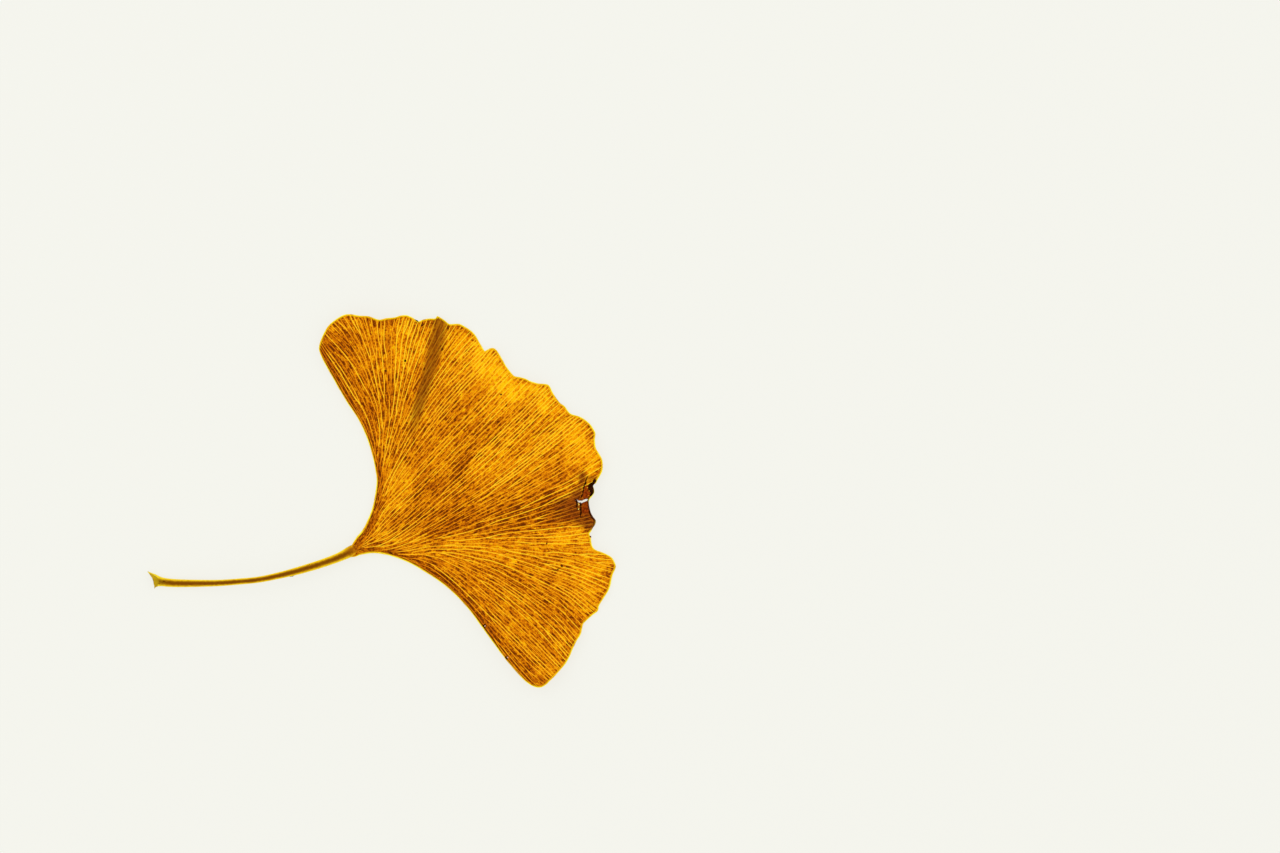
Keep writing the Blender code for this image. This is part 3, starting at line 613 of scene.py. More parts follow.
class Wire:
    # one output socket; an expression on wires and numbers adds Math nodes to its tree
    def __init__(self, tree, socket=None):
        self.tree, self.socket = tree, socket

    def node(self, kind, settings=None, inputs=None, output=0):
        # settings are set first, then each input gets a link from a wire or a fixed value
        made = self.tree.nodes.new(kind)
        for key, value in (settings or {}).items():
            if key == "stops":
                ramp = made.color_ramp
                while len(ramp.elements) < len(value):
                    ramp.elements.new(0.5)
                for element, (place, shade) in zip(ramp.elements, value):
                    element.position, element.color = place, shade
            else:
                setattr(made, key, value)
        for key, value in (inputs or {}).items():
            if isinstance(value, Wire):
                self.tree.links.new(value.socket, made.inputs[key])
            else:
                made.inputs[key].default_value = value
        return Wire(self.tree, made.outputs[output] if len(made.outputs) else None)

    def maths(self, operation, first, second=0.0, clamp=False):
        settings = {"operation": operation, "use_clamp": clamp}
        return self.node("ShaderNodeMath", settings, {0: first, 1: second})

    def __add__(self, other): return self.maths("ADD", self, other)
    def __radd__(self, other): return self.maths("ADD", other, self)
    def __sub__(self, other): return self.maths("SUBTRACT", self, other)
    def __rsub__(self, other): return self.maths("SUBTRACT", other, self)
    def __mul__(self, other): return self.maths("MULTIPLY", self, other)
    def __rmul__(self, other): return self.maths("MULTIPLY", other, self)

    def clamp(self): return self.maths("ADD", self, clamp=True)

    def least(self, other): return self.maths("MINIMUM", self, other)

    def between(self, low, high):
        # 0 at low, 1 at high, smooth between; low may be the larger
        return self.node("ShaderNodeMapRange", {"interpolation_type": "SMOOTHSTEP"},
                         {"Value": self, "From Min": low, "From Max": high, "To Min": 0.0, "To Max": 1.0})

    def attribute(self, name):
        return self.node("ShaderNodeAttribute", {"attribute_name": name}, output="Fac")

    def place(self):
        return self.node("ShaderNodeTexCoord", output="Object")

    def fan(self):
        return self.node("ShaderNodeUVMap", {"uv_map": "fan"})

    def stretch(self, vector, scale):
        return self.node("ShaderNodeVectorMath", {"operation": "MULTIPLY"}, {0: vector, 1: scale})

    def noise(self, vector, scale, detail, roughness, distortion=0.0):
        return self.node("ShaderNodeTexNoise", {"noise_dimensions": "3D"},
                         {"Vector": vector, "Scale": scale, "Detail": detail, "Roughness": roughness,
                          "Distortion": distortion})

    def ramp(self, value, stops):
        return self.node("ShaderNodeValToRGB", {"stops": stops}, {"Fac": value})

    def blend(self, factor, first, second):
        return self.node("ShaderNodeMix", {"data_type": "RGBA"}, {0: factor, 6: first, 7: second}, output=2)

    def bump(self, strength, distance, height):
        return self.node("ShaderNodeBump", {}, {"Strength": strength, "Distance": distance, "Height": height})

    def principled(self, tint, roughness, normal, specular, specularTint):
        return self.node("ShaderNodeBsdfPrincipled", {}, {
            "Base Color": tint, "Roughness": roughness, "Normal": normal,
            "Specular IOR Level": specular, "Specular Tint": specularTint})

    def finish(self, shader):
        # ends the material that this wire was made for
        self.node("ShaderNodeOutputMaterial", {}, {"Surface": shader})
        return self.material


def colour(r, g, b):
    # screen values 0 to 255 to scene values, by the curve of a screen, with full cover
    c = np.array([r, g, b]) / 255
    return (*np.where(c <= 0.04045, c / 12.92, ((c + 0.055) / 1.055) ** 2.4).tolist(), 1.0)


def newMaterial(name):
    # an empty material, as a wire on its tree to start from
    material = bpy.data.materials.new(name)
    material.use_nodes = True
    material.node_tree.nodes.clear()
    w = Wire(material.node_tree)
    w.material = material
    return w


# Tints of the faint gloss
leafSheen = (1.0, 0.72, 0.12, 1.0)
crustSheen = (1.0, 0.7, 0.3, 1.0)


def finishLeafShader(w, tint, roughness, normal, through, specular):
    # a leaf tissue: part of the light is scattered back, part passes through
    scattered = w.principled(tint, roughness, normal, specular, leafSheen)
    passing = w.node("ShaderNodeBsdfTranslucent", {}, {"Color": tint, "Normal": normal})
    return w.finish(w.node("ShaderNodeMixShader", {}, {0: through, 1: scattered, 2: passing}))


bladeLook = {
    # noises: scale, detail, roughness and distortion; the streaks' is drawn out along the veins
    "streak": (1.0, 2.0, 0.62),
    "grain": (2400.0, 2.0, 0.6),
    "patch": (190.0, 3.0, 0.6, 0.6),
    "dots": (900.0, 0.0, 0.5),
    # tone of clean tissue, and what each of them adds to it or takes from it
    "tone": 0.495,
    "streakWeight": 1.5,             # up to 1 more where the spots darken the blade
    "grainWeight": 1.3,
    "patchWeight": 0.4,
    "darkeningWeight": 0.34,
    "dotWeight": 0.25,
    "sideWeight": 0.28,
    "marginWeight": 0.08,
    "pitch": 0.34,                   # millimetres between streaks
    "dash": 26.0,                    # streaks along a whole guide
    "levels": (2, 3, 4, 5, 6),       # layers of streaks, each twice as fine across as the one before
    "levelBlend": (2.2, 2.8),        # spreads over which the first gives way to the second, and so on
    "sideBand": (2.2, 0.5),          # the sides darken between these distances from them
    "sideEnd": (48.0, 34.0),         # and between these from the outer margin
    "tissue": [(0.08, colour(112, 42, 0)), (0.30, colour(172, 82, 0)), (0.50, colour(222, 126, 2)),
               (0.70, colour(254, 166, 3)), (0.95, colour(255, 208, 8))],
    # painted shade over the pleat, the darker band of its fold
    "foldShade": [(0.3, colour(112, 50, 3)), (0.7, colour(172, 96, 8))],
    "foldShadeCover": 0.9,
    "line": colour(255, 220, 12),    # painted light: a bright line along the thin edge, which lets light through, between these distances from it
    "edgeLightBand": (0.34, 0.12),
    "edgeLightCover": 0.8,
    "burnt": [(0.3, colour(70, 18, 2)), (0.5, colour(116, 46, 6)), (0.7, colour(170, 76, 8))],
    "burntFrom": (0.1, 0.62),
    "burntCover": 0.88,
    "roughness": 0.62,
    "through": 0.28,                 # share of the light that passes through
}


def streaks(w, fan, spread):
    # noise drawn out along the veins, its scale across doubled each time the fan has doubled its width
    look = bladeLook
    layers = [w.noise(w.stretch(fan, (2 ** level / look["pitch"], look["dash"], 1.0)), *look["streak"])
              for level in look["levels"]]
    streak = layers[0]
    for level, layer in enumerate(layers[1:]):
        share = spread.between(*(level + edge for edge in look["levelBlend"]))
        streak = streak * (1 - share) + layer * share
    return streak


def bladeMaterial():
    # a tone of streaks, grain and patches, darker in the soft spots and along the sides, becomes brown to
    # yellow; the pleat's painted shade, painted light as a bright line along the edge, and the burn are
    # blended over that
    look = bladeLook
    w = newMaterial("driedBlade")
    place = w.place()
    streak = streaks(w, w.fan(), w.attribute("spread"))
    grain, patch, dots = (w.noise(place, *look[name]) for name in ("grain", "patch", "dots"))
    side, edge, stain = (w.attribute(name) for name in ("side", "edge", "stain"))
    band = side.between(*look["sideBand"]) * edge.between(*look["sideEnd"]) * look["sideWeight"]
    band = band + edge.between(1.6, 0.4) * look["marginWeight"]
    contrast = look["streakWeight"] + (0.5 + stain * 0.5).clamp()
    tone = (look["tone"] + (streak - 0.5) * contrast + (grain - 0.5) * look["grainWeight"]
            + (patch - 0.5) * look["patchWeight"] - stain * look["darkeningWeight"] - band
            - dots.between(0.76, 0.84) * look["dotWeight"])
    tint = w.ramp(tone, look["tissue"])
    # painted shade: the pleat's darker band
    foldShade = w.ramp(streak + (grain - 0.5) * 0.5, look["foldShade"])
    tint = w.blend(w.attribute("pleat") * look["foldShadeCover"], tint, foldShade)
    # painted light: a bright line along the edge and the sides
    line = (edge.least(side * 1.7) + (grain - 0.5) * 0.2).between(*look["edgeLightBand"])
    tint = w.blend(line * look["edgeLightCover"], tint, look["line"])
    burn = w.attribute("scorch") + (streak - 0.5) * 0.25
    burnt = w.ramp(streak + (grain - 0.5) * 0.6, look["burnt"])
    tint = w.blend(burn.between(*look["burntFrom"]) * look["burntCover"], tint, burnt)
    bump = w.bump(0.35, 0.0002, streak + grain * 0.4)
    return finishLeafShader(w, tint, look["roughness"] + (patch - 0.5) * 0.2, bump, look["through"], 0.15)


def makeBlade():
    # two faces of a grid across and along the fan, joined by a wall round the rim; the grid is finer
    # where the slit is torn, its squares there are left out and walls close the blade round them
    s = bladeShape
    rows = s["rows"] + 1
    place = np.linspace(-1, 1, s["columns"] + 1)
    fromSlit = np.array(onBlade(place, scorch["slitShare"])) - np.array(scorch["slitPlace"])[:, None]
    slitAcross = float(place[np.argmin(np.hypot(*fromSlit))])
    reach = scorch["slitReach"]
    finer = np.linspace(slitAcross - reach, slitAcross + reach, scorch["slitColumns"])
    place = np.unique(np.concatenate([place, finer]))
    columns = len(place)
    across, share = np.meshgrid(place, np.linspace(0, 1, rows))
    x, y = onBlade(across, share)
    low, high = surfaces(x, y)
    top, bottom = asPoints(x, y, high), asPoints(x, y, low)
    count = rows * columns
    ring = np.concatenate([np.arange(columns), np.arange(1, rows) * columns + columns - 1,
                           (rows - 1) * columns + np.arange(columns - 2, -1, -1),
                           np.arange(rows - 2, 0, -1) * columns])
    after = np.roll(ring, -1)
    wall = np.stack([ring, after, after + count, ring + count], 1)
    upper, lower = gridFaces(rows, columns, flip=True), gridFaces(rows, columns, count)
    torn = insideSlit(*top[upper, :2].mean(1).T)
    edges = np.sort(np.stack([upper[torn], np.roll(upper[torn], -1, axis=1)], 2).reshape(-1, 2), axis=1)
    edges, uses = np.unique(edges, axis=0, return_counts=True)
    edges = edges[uses == 1]
    slitWall = np.concatenate([edges, edges[:, ::-1] + count], axis=1)
    print("squares torn out", int(torn.sum()))
    faces = np.vstack([upper[~torn], lower[~torn], wall, slitWall])
    floats = {key: np.tile(values.ravel(), 2) for key, values in leafFloats(x, y, across, share).items()}
    uv = np.tile(np.stack([across.ravel(), share.ravel()], 1), (2, 1))
    return makePiece("blade", np.vstack([top, bottom]), faces, bladeMaterial(), floats, uv,
                     sharp=True, tidy=True)


veinShape = {
    "seed": 11,
    "start": 0.03,                   # share of the fan at which the veins begin, inside the stalk
    "first": 19,                     # veins there
    "firstRow": 10,                  # row of the room table that shares the fan out among them
    "split": (0.8, 1.18),            # a vein forks once it has this much room to itself, times the
    "splitShares": (0.0, 0.25, 0.6, 1.0),    # factor below, which grows from share to share
    "splitFactors": (0.72, 0.84, 1.0, 1.1),
    "splitMiddle": (0.43, 0.57),     # where a fork may part the room
    "shortest": 1.7,                 # least length between forks
    "lastStretch": 2.5,              # no fork lies nearer to the margin than this
    "overlap": 0.003,                # share by which the arms begin before the fork
    "ease": 2.8,                     # length over which a fork's arms spread apart
    "ahead": 4.0,                    # a fork halves the room that there will be this much further out
    "length": 50.0,                  # of a whole guide, to turn lengths into shares
    "least": 0.27,                   # room that a vein needs before it shows
    "stub": 0.04,                    # share of the fan over which every vein shows at least
    "endGap": 0.12,                  # how far from the margin a vein ends
    "glow": (0.45, 0.55),            # weights of the parent's brightness and of a random one
    "widths": (0.095, 0.125),        # half widths near the stalk and at the margin
    "widthShares": (0.05, 0.95),
    "tips": (0.75, 0.8, 0.45),       # factors of the width at the beginning, at a fork and at the end
    "proud": 0.022,
    "step": 0.7,
    # ring round a vein: share of its half width, height above the upper face (1) or below the lower (-1)
    "ring": [(1.0, -0.4, 1), (0.4, 1.0, 1), (-0.4, 1.0, 1), (-1.0, -0.4, 1),
             (-1.0, -0.4, -1), (-0.4, 1.0, -1), (0.4, 1.0, -1), (1.0, -0.4, -1)],
}


def growVeins():
    # a strip of the fan forks when the room between its neighbours passes a random limit, and each
    # arm eases from its parent's place to its own place in its half of the strip
    v = veinShape
    rng = np.random.default_rng(v["seed"])
    row = fanRoom[v["firstRow"]]
    cuts = np.interp(np.linspace(0, row[-1], v["first"] + 1), row, roomPlaces)
    strips = [(a, b, v["start"], None, 0.5) for a, b in zip(cuts[:-1], cuts[1:])]
    paths = []
    while strips:
        a, b, begin, origin, glow = strips.pop()
        wide = tableAt(fanRoom, b, roomShares) - tableAt(fanRoom, a, roomShares)
        limit = rng.uniform(*v["split"]) * np.interp(roomShares, v["splitShares"], v["splitFactors"])
        ready = (wide > limit) & (roomShares > begin + v["shortest"] / v["length"])
        forkAt = float(roomShares[np.argmax(ready)]) if ready.any() else 2.0
        forks = forkAt < 1 - v["lastStretch"] / v["length"]
        aheadShare = min(forkAt + v["ahead"] / v["length"], 1)
        room = fanRoom[int(round((len(roomShares) - 1) * aheadShare))]
        ends = np.interp([a, b], roomPlaces, room)
        middle = ends[0] + (ends[1] - ends[0]) * rng.uniform(*v["splitMiddle"])
        own = float(np.interp(middle, room, roomPlaces))
        end = forkAt if forks else 1 - v["endGap"] / v["length"]
        roomy = (wide > v["least"]) & (roomShares > begin)
        shown = max(begin, float(roomShares[np.argmax(roomy)]) if roomy.any() else 1.0)
        shown = min(shown, end - v["stub"])
        stations = max(4, int(round((end - shown) * v["length"] / v["step"])) + 1)
        share = np.linspace(shown, end, stations)
        origin = own if origin is None else origin
        across = origin + (own - origin) * smoothStep(share, begin, begin + v["ease"] / v["length"])
        glow = v["glow"][0] * glow + v["glow"][1] * rng.random()
        paths.append((across, share, forks, glow))
        if forks:
            arms = (end - v["overlap"], across[-1], glow)
            strips += [(a, own, *arms), (own, b, *arms)]
    return paths


def outsideSlit(x, y):
    # keeps a vein's stations that lie clear of the torn slit
    line = np.array(scorch["slit"] + scorch["slit"][:1], dtype=float)
    return (distanceTo(evenly(line, 200), x, y) > scorch["slitClear"]) & ~insideSlit(x, y)


veinLook = {
    "patch": (420.0, 2.0, 0.55),     # noises and weights as for the blade
    "fine": (1900.0, 1.0, 0.5),
    "tone": 0.62,
    "patchWeight": 0.8,
    "fineWeight": 0.4,
    "glowWeight": 0.9,
    "darkeningWeight": 0.3,
    # painted shade: the flanks darker than the crest
    "flankShadeWeight": 0.4,
    "sideWeight": 0.5,
    "sideBand": (1.9, 0.5),
    # lighter than the blade: partly the veins' own colour, partly painted light where they let light through
    "tissue": [(0.08, colour(196, 102, 6)), (0.3, colour(240, 148, 12)), (0.55, colour(255, 184, 26)),
               (0.85, colour(255, 208, 34))],
    # painted shade over the pleat
    "foldShade": colour(152, 80, 6),
    "foldShadeCover": 0.8,
    "burnt": colour(148, 66, 10),
    "burntFrom": (0.15, 0.6),
    "burntCover": 0.85,
    "roughness": 0.6,
    "through": 0.1,
}


def veinMaterial():
    # a tone of patches and each vein's own glow, duller in the soft spots and along the blade's sides,
    # with painted shade on its flanks and over the pleat, and browner in the scorch
    look = veinLook
    w = newMaterial("bladeVeins")
    place = w.place()
    patch, fine = w.noise(place, *look["patch"]), w.noise(place, *look["fine"])
    tone = (look["tone"] + (patch - 0.5) * look["patchWeight"] + (fine - 0.5) * look["fineWeight"]
            + (w.attribute("glow") - 0.5) * look["glowWeight"] - w.attribute("stain") * look["darkeningWeight"]
            - (1 - w.attribute("crest")) * look["flankShadeWeight"])
    band = w.attribute("side").between(*look["sideBand"]) * w.attribute("edge").between(*bladeLook["sideEnd"])
    tint = w.ramp(tone - band * look["sideWeight"], look["tissue"])
    # painted shade over the pleat
    tint = w.blend(w.attribute("pleat") * look["foldShadeCover"], tint, look["foldShade"])
    burn = w.attribute("scorch").between(*look["burntFrom"])
    tint = w.blend(burn * look["burntCover"], tint, look["burnt"])
    bump = w.bump(0.3, 0.0001, fine)
    return finishLeafShader(w, tint, look["roughness"] + (patch - 0.5) * 0.1, bump, look["through"], 0.02)


def makeVeins():
    # a flat-topped ring carried along each vein, standing a little proud of both faces
    v = veinShape
    beside, above, face = np.array(v["ring"], dtype=float).T
    sides = len(beside)
    shapes, spots, glows = [], [], []
    for across, share, forks, glow in growVeins():
        x, y = onBlade(across, share)
        keep = outsideSlit(x, y)
        runs = np.split(np.arange(len(keep)), np.flatnonzero(np.diff(keep.astype(int))) + 1)
        for run in [run for run in runs if len(run) > 2 and keep[run[0]]]:
            width = np.interp(share[run], v["widthShares"], v["widths"])
            width[0] *= v["tips"][0]
            width[-1] *= v["tips"][1] if forks else v["tips"][2]
            px, py = sideways(x[run], y[run], width, beside)
            low, high = surfaces(px, py)
            proud = (v["proud"] * width / v["widths"][0])[:, None] * above
            pz = np.maximum(np.where(face > 0, high + proud, low - proud), 0.0)
            shapes.append((asPoints(px, py, pz), tubeFaces(len(run), sides)))
            spots.append(np.stack([np.repeat(across[run], sides), np.repeat(share[run], sides)], 1))
            glows.append(np.full(len(run) * sides, glow))
    points, faces = joinShapes(shapes)
    print("veins", len(shapes), "points", len(points))
    floats = leafFloats(*points[:, :2].T, *np.vstack(spots).T)
    floats["glow"] = np.concatenate(glows)
    # 1 on the ring's upper points; the material paints shade on the flanks, where it is 0
    floats["crest"] = np.tile(above > 0, len(points) // sides).astype(float)
    return makePiece("veins", points, faces, veinMaterial(), floats, sharp=True)


rimShape = {
    "halfWidth": 0.1,
    "baseWidth": 0.2,                # added beside the stalk, dying away over the next length
    "baseLength": 8.0,
    "halfHeight": 0.09,
    "cover": 0.02,                   # how far the rim stands beyond the blade's two faces
    "swell": (0.7, 0.6),             # least width and how much a cloud adds to it, as factors
    "swellSize": 1.3,
    "swellSeed": 51,
    "grow": 3.0,                     # it reaches its full size this far from its two ends
    "sides": 8,
    "step": 0.35,
    "start": 0.03,                   # share of the guides at which it begins
    # pale gold: partly the rim's own colour, partly painted light where the thin edge lets light through
    "tissue": [(0.25, colour(176, 106, 6)), (0.40, colour(246, 194, 20)), (0.55, colour(255, 238, 60))],
    "patch": (500.0, 2.0, 0.6),
    "burnt": colour(92, 38, 8),
    "burntFrom": (0.25, 0.7),
    "roughness": 0.6,
    "through": 0.1,
}


def makeRim():
    # the fine thickened edge: a small ring carried along both sides and the notched margin
    r = rimShape
    first = int(r["start"] * bladeShape["shares"])
    line = np.vstack([guideLines[0][first:-1], marginLine, guideLines[-1][first:-1][::-1]])
    line = evenly(line, int(lengthAlong(line)[-1] / r["step"]))
    stops = lengthAlong(line)
    turn = turns(r["sides"])
    fromStalk = np.minimum(stops, stops[-1] - stops)
    grown = np.clip(fromStalk / r["grow"], 0.1, 1)
    swell = r["swell"][0] + r["swell"][1] * cloud(stops, stops * 0, r["swellSize"], r["swellSeed"])
    swell = swell * grown
    wide = r["halfWidth"] * swell + r["baseWidth"] * np.exp(-fromStalk / r["baseLength"]) * grown
    low, high = surfaces(*line.T)
    px, py = sideways(*line.T, -wide, np.cos(turn))
    tall = np.maximum(r["halfHeight"], (high - low) / 2 + r["cover"]) * np.minimum(swell, 1)
    pz = np.maximum(((low + high) / 2)[:, None] + tall[:, None] * np.sin(turn), 0)
    points = asPoints(px, py, pz)
    floats = {"scorch": softSpots(*points[:, :2].T, scorch)}
    return makePiece("rim", points, tubeFaces(len(stops), r["sides"]), rimMaterial(), floats)


def rimMaterial():
    # golden in patches, partly painted light of the thin edge, browner where the blade is scorched
    look = rimShape
    w = newMaterial("bladeRim")
    patch = w.noise(w.place(), *look["patch"])
    burn = w.attribute("scorch").between(*look["burntFrom"])
    tint = w.blend(burn, w.ramp(patch, look["tissue"]), look["burnt"])
    bump = w.bump(0.2, 0.0001, patch)
    return finishLeafShader(w, tint, look["roughness"] + (patch - 0.5) * 0.1, bump, look["through"], 0.03)


stalkShape = {
    # middle line with its height and half width, from the torn end to inside the blade
    "line": [(-41.6, -5.5, 1.05, 2.0), (-40.2, -5.7, 0.86, 1.6), (-39.0, -5.83, 0.71, 1.28),
             (-37.7, -6.0, 0.72, 0.87), (-36.2, -6.2, 0.8, 0.79), (-34.0, -6.3, 0.98, 0.74),
             (-30.0, -6.3, 1.5, 0.67), (-26.0, -6.2, 2.15, 0.6), (-22.0, -5.9, 2.7, 0.57),
             (-18.0, -5.5, 2.95, 0.57), (-14.0, -4.7, 2.85, 0.62), (-10.0, -3.7, 2.5, 0.72),
             (-6.0, -2.5, 2.1, 0.8), (-3.0, -1.45, 1.85, 0.88), (-1.4, -0.78, 1.72, 0.95),
             (0.0, -0.05, 1.5, 1.08), (1.0, 0.5, 1.3, 1.02), (2.0, 1.1, 1.2, 0.76), (3.0, 1.75, 1.1, 0.34)],
    "sink": (-1.6, 2.8),             # between these x it turns from a rod into a tongue inside the blade
    "sunkHeight": 0.42,              # half height of the tongue, as a share of the blade's thickness
    "swell": 0.05,                   # added to the half width along the free stalk, from x to x
    "swellRise": (-3, -8),
    "flatness": 0.82,                # height over width of the rod, and of the flared end beyond x
    "flareFlatness": 0.62,
    "flare": (-36.5, -39.0),
    "scoopCentre": (-42.84, -6.98),  # the torn end is cut by this circle, and its edge roughened
    "scoopRadius": 3.9,
    "scoopRough": 0.12,
    "scoopSeed": 61,
    "hollow": ((0.15, 1.5), (0.5, 1.1), (0.78, 0.55), (0.9, 0.1)),    # inner rings: size and depth
    "groove": 0.16,                  # depth of the groove along the upper side, as a share of the height
    "grooveWidth": 0.35,
    "sides": 40,
    "step": 0.35,
}

stalkLook = {
    "fibreStretch": (9.0, 60.0, 1.0),    # fibres round the stalk and along it
    "fibre": (1.0, 3.0, 0.6),        # noises and weights as for the blade
    "patch": (300.0, 2.0, 0.5),
    "fibreWeight": 0.5,
    "patchWeight": 0.25,
    # from the painted shade of the middle to the painted light of the sides
    "skin": [(0.08, colour(120, 64, 2)), (0.38, colour(154, 98, 4)), (0.62, colour(222, 168, 14)),
             (0.85, colour(255, 224, 32))],
    "olive": [(0.05, colour(146, 108, 10)), (0.45, colour(204, 168, 22)), (0.8, colour(248, 222, 44))],
    "bladeLike": [(0.3, colour(126, 62, 3)), (0.55, colour(180, 104, 6)), (0.8, colour(238, 164, 14))],
    "oliveUntil": (0.14, 0.02),      # shares along the stalk between which it turns olive, and blade-like
    "bladeFrom": (0.89, 0.97),
    "roughness": 0.5,
    "through": 0.14,
}


def stalkMaterial():
    # painted shade darkens it along its middle and painted light brightens its sides, with fibres along it;
    # olive at the torn end, and like the blade where it sinks into it
    look = stalkLook
    w = newMaterial("stalkSkin")
    lean, along = w.attribute("lean"), w.attribute("along")
    fibre = w.noise(w.stretch(w.fan(), look["fibreStretch"]), *look["fibre"])
    patch = w.noise(w.place(), *look["patch"])
    tone = lean + (fibre - 0.5) * look["fibreWeight"] + (patch - 0.5) * look["patchWeight"]
    tint, olive = w.ramp(tone, look["skin"]), w.ramp(tone, look["olive"])
    tint = w.blend(along.between(*look["oliveUntil"]), tint, olive)
    bladeLike = w.ramp(lean * 0.1 + fibre, look["bladeLike"])
    tint = w.blend(along.between(*look["bladeFrom"]), tint, bladeLike)
    bump = w.bump(0.4, 0.0002, fibre)
    return finishLeafShader(w, tint, look["roughness"] + (fibre - 0.5) * 0.2, bump, look["through"], 0.12)


def makeStalk():
    # an oval section, grooved along its top, carried along the middle line; the first ring is drawn
    # back to the torn end's scoop, and inner rings make the hollow
    s = stalkShape
    line = smoothLine(s["line"], 12)
    run = lengthAlong(line)
    stops = np.arange(0, run[-1], s["step"])
    x, y, z, half = (np.interp(stops, run, column) for column in line.T)
    half = half + s["swell"] * smoothStep(x, *s["swellRise"])
    turn = turns(s["sides"])
    flare = smoothStep(x, *s["flare"])
    flat = (s["flatness"] + (s["flareFlatness"] - s["flatness"]) * flare)[:, None]
    groove = 1 - s["groove"] * np.exp(-(np.cos(turn) / s["grooveWidth"]) ** 2) * (np.sin(turn) > 0)
    px, py = sideways(x, y, half, np.cos(turn))
    pz = z[:, None] + half[:, None] * flat * np.sin(turn) * groove
    low, high = surfaces(px, py)
    sunk = smoothStep(x, *s["sink"])[:, None]
    pz = pz * (1 - sunk) + ((low + high) / 2 + (high - low) * s["sunkHeight"] * np.sin(turn)) * sunk
    circle = np.clip(s["scoopRadius"] ** 2 - (py - s["scoopCentre"][1]) ** 2, 0, None)
    cutX = s["scoopCentre"][0] + np.sqrt(circle)
    cutX = cutX + s["scoopRough"] * (cloud(py * 9, pz * 9, 1.0, s["scoopSeed"]) - 0.5)
    px, pz = np.maximum(px, cutX), np.maximum(pz, 0.0)
    first = int(np.argmax((px > cutX + 1e-6).any(1)))
    body = np.stack([px, py, pz], 2)[first:]
    stops = stops[first:]
    middle = body[0].mean(0)
    rings = [middle + (body[0] - middle) * size + (deep, 0, 0) for size, deep in s["hollow"]]
    points = np.vstack([*rings, body.reshape(-1, 3)])
    # painted light towards the sides of the section, and painted shade darkening the inner rings of the
    # hollow
    lean = np.concatenate([np.repeat([0.1 + 0.3 * size for size, deep in s["hollow"]], s["sides"]),
                           np.tile(np.abs(np.cos(turn)) ** 1.15, len(stops))])
    share = np.concatenate([np.zeros(len(rings) * s["sides"]), np.repeat(stops / run[-1], s["sides"])])
    uv = np.stack([np.tile(turn / (2 * math.pi), len(stops) + len(rings)), share], 1)
    faces = tubeFaces(len(stops) + len(rings), s["sides"])
    return makePiece("stalk", points, faces, stalkMaterial(), {"lean": lean, "along": share}, uv)


# Small marks: x, y, half length, half width, turn in degrees, how far it stands proud
markShape = {
    "specks": [
        (7.2, 36.1, 0.34, 0.26, 0, 0.05), (15.0, 36.5, 0.4, 0.2, 80, 0.04),
        (18.4, 40.5, 0.42, 0.3, 60, 0.05), (19.7, 44.6, 0.5, 0.15, 85, 0.05),
        (11.4, 25.7, 0.3, 0.2, 70, 0.04), (6.1, 15.8, 0.85, 0.28, 95, 0.05),
        (15.3, 13.9, 0.25, 0.2, 0, 0.04), (6.2, 1.6, 0.25, 0.2, 0, 0.04), (19.1, 6.2, 0.25, 0.18, 0, 0.04),
        (18.5, 4.7, 0.2, 0.15, 0, 0.04), (30.3, 31.4, 0.3, 0.2, 0, 0.04), (42.4, -2.8, 0.35, 0.3, 0, 0.05),
        (39.4, 1.7, 0.25, 0.2, 0, 0.04), (42.4, -1.1, 0.25, 0.2, 0, 0.04), (41.6, -3.5, 0.3, 0.2, 0, 0.04),
        (8.2, -0.3, 0.45, 0.25, -20, 0.05), (14.4, 45.3, 0.45, 0.35, 20, 0.05),
        (48.1, 3.0, 0.2, 0.2, 0, 0.06),
    ],
    # the same for the stalk, with the height of each mark before how far it stands proud
    "stalkSpecks": [
        (-7.84, -2.56, 0.22, 0.16, 10, 2.72, 0.05), (-11.34, -4.78, 0.42, 0.14, 15, 2.62, 0.1),
        (-38.92, -7.0, 0.34, 0.1, 78, 0.72, 0.2), (-38.3, -6.2, 0.6, 0.14, -31, 1.27, 0.07),
        (-37.0, -5.9, 0.3, 0.07, -10, 1.36, 0.04), (-40.1, -4.15, 0.2, 0.1, 115, 0.9, 0.16),
    ],
    # three small ringed marks: x, y, radius, how far it stands proud and its tint
    "ringed": [
        (27.1, -14.78, 0.42, 0.05, "char"), (27.1, -14.78, 0.17, 0.11, "pale"),
        (31.5, -21.05, 0.38, 0.05, "char"), (31.62, -21.0, 0.16, 0.11, "pale"),
        (11.08, 38.14, 0.46, 0.02, "gold"), (11.08, 38.14, 0.32, 0.08, "char"),
    ],
    "seeds": (0, 30, 90, 95),        # for the lumps of the specks, stalk specks, bits and ringed marks
    "sunk": 0.03,                    # each mark begins this far below the face
    "grain": [(0.3, colour(54, 20, 4)), (0.7, colour(118, 50, 6))],
}


def onTop(x, y):
    # height of the blade's upper face at one place
    return float(surfaces(np.array([x]), np.array([y]))[1][0])


def domePoints(x, y, long, short, turn, proud, seed, height=None):
    # a flat lumpy ellipsoid, mostly sunk in the blade or, where a height is given, in the stalk
    rings, sides, sunk = 5, 10, markShape["sunk"]
    lift = np.linspace(-0.5, 0.5, rings + 2)[1:-1] * math.pi
    lift, angle = np.meshgrid(lift, turns(sides), indexing="ij")
    rough = 0.8 + 0.4 * np.random.default_rng(seed).random(lift.shape)
    ex, ey = long * np.cos(lift) * np.cos(angle) * rough, short * np.cos(lift) * np.sin(angle) * rough
    t = math.radians(turn)
    px = x + ex * math.cos(t) - ey * math.sin(t)
    py = y + ex * math.sin(t) + ey * math.cos(t)
    pz = (onTop(x, y) if height is None else height) - sunk + (proud + sunk) * np.sin(lift)
    return asPoints(px, py, pz), tubeFaces(rings, sides)


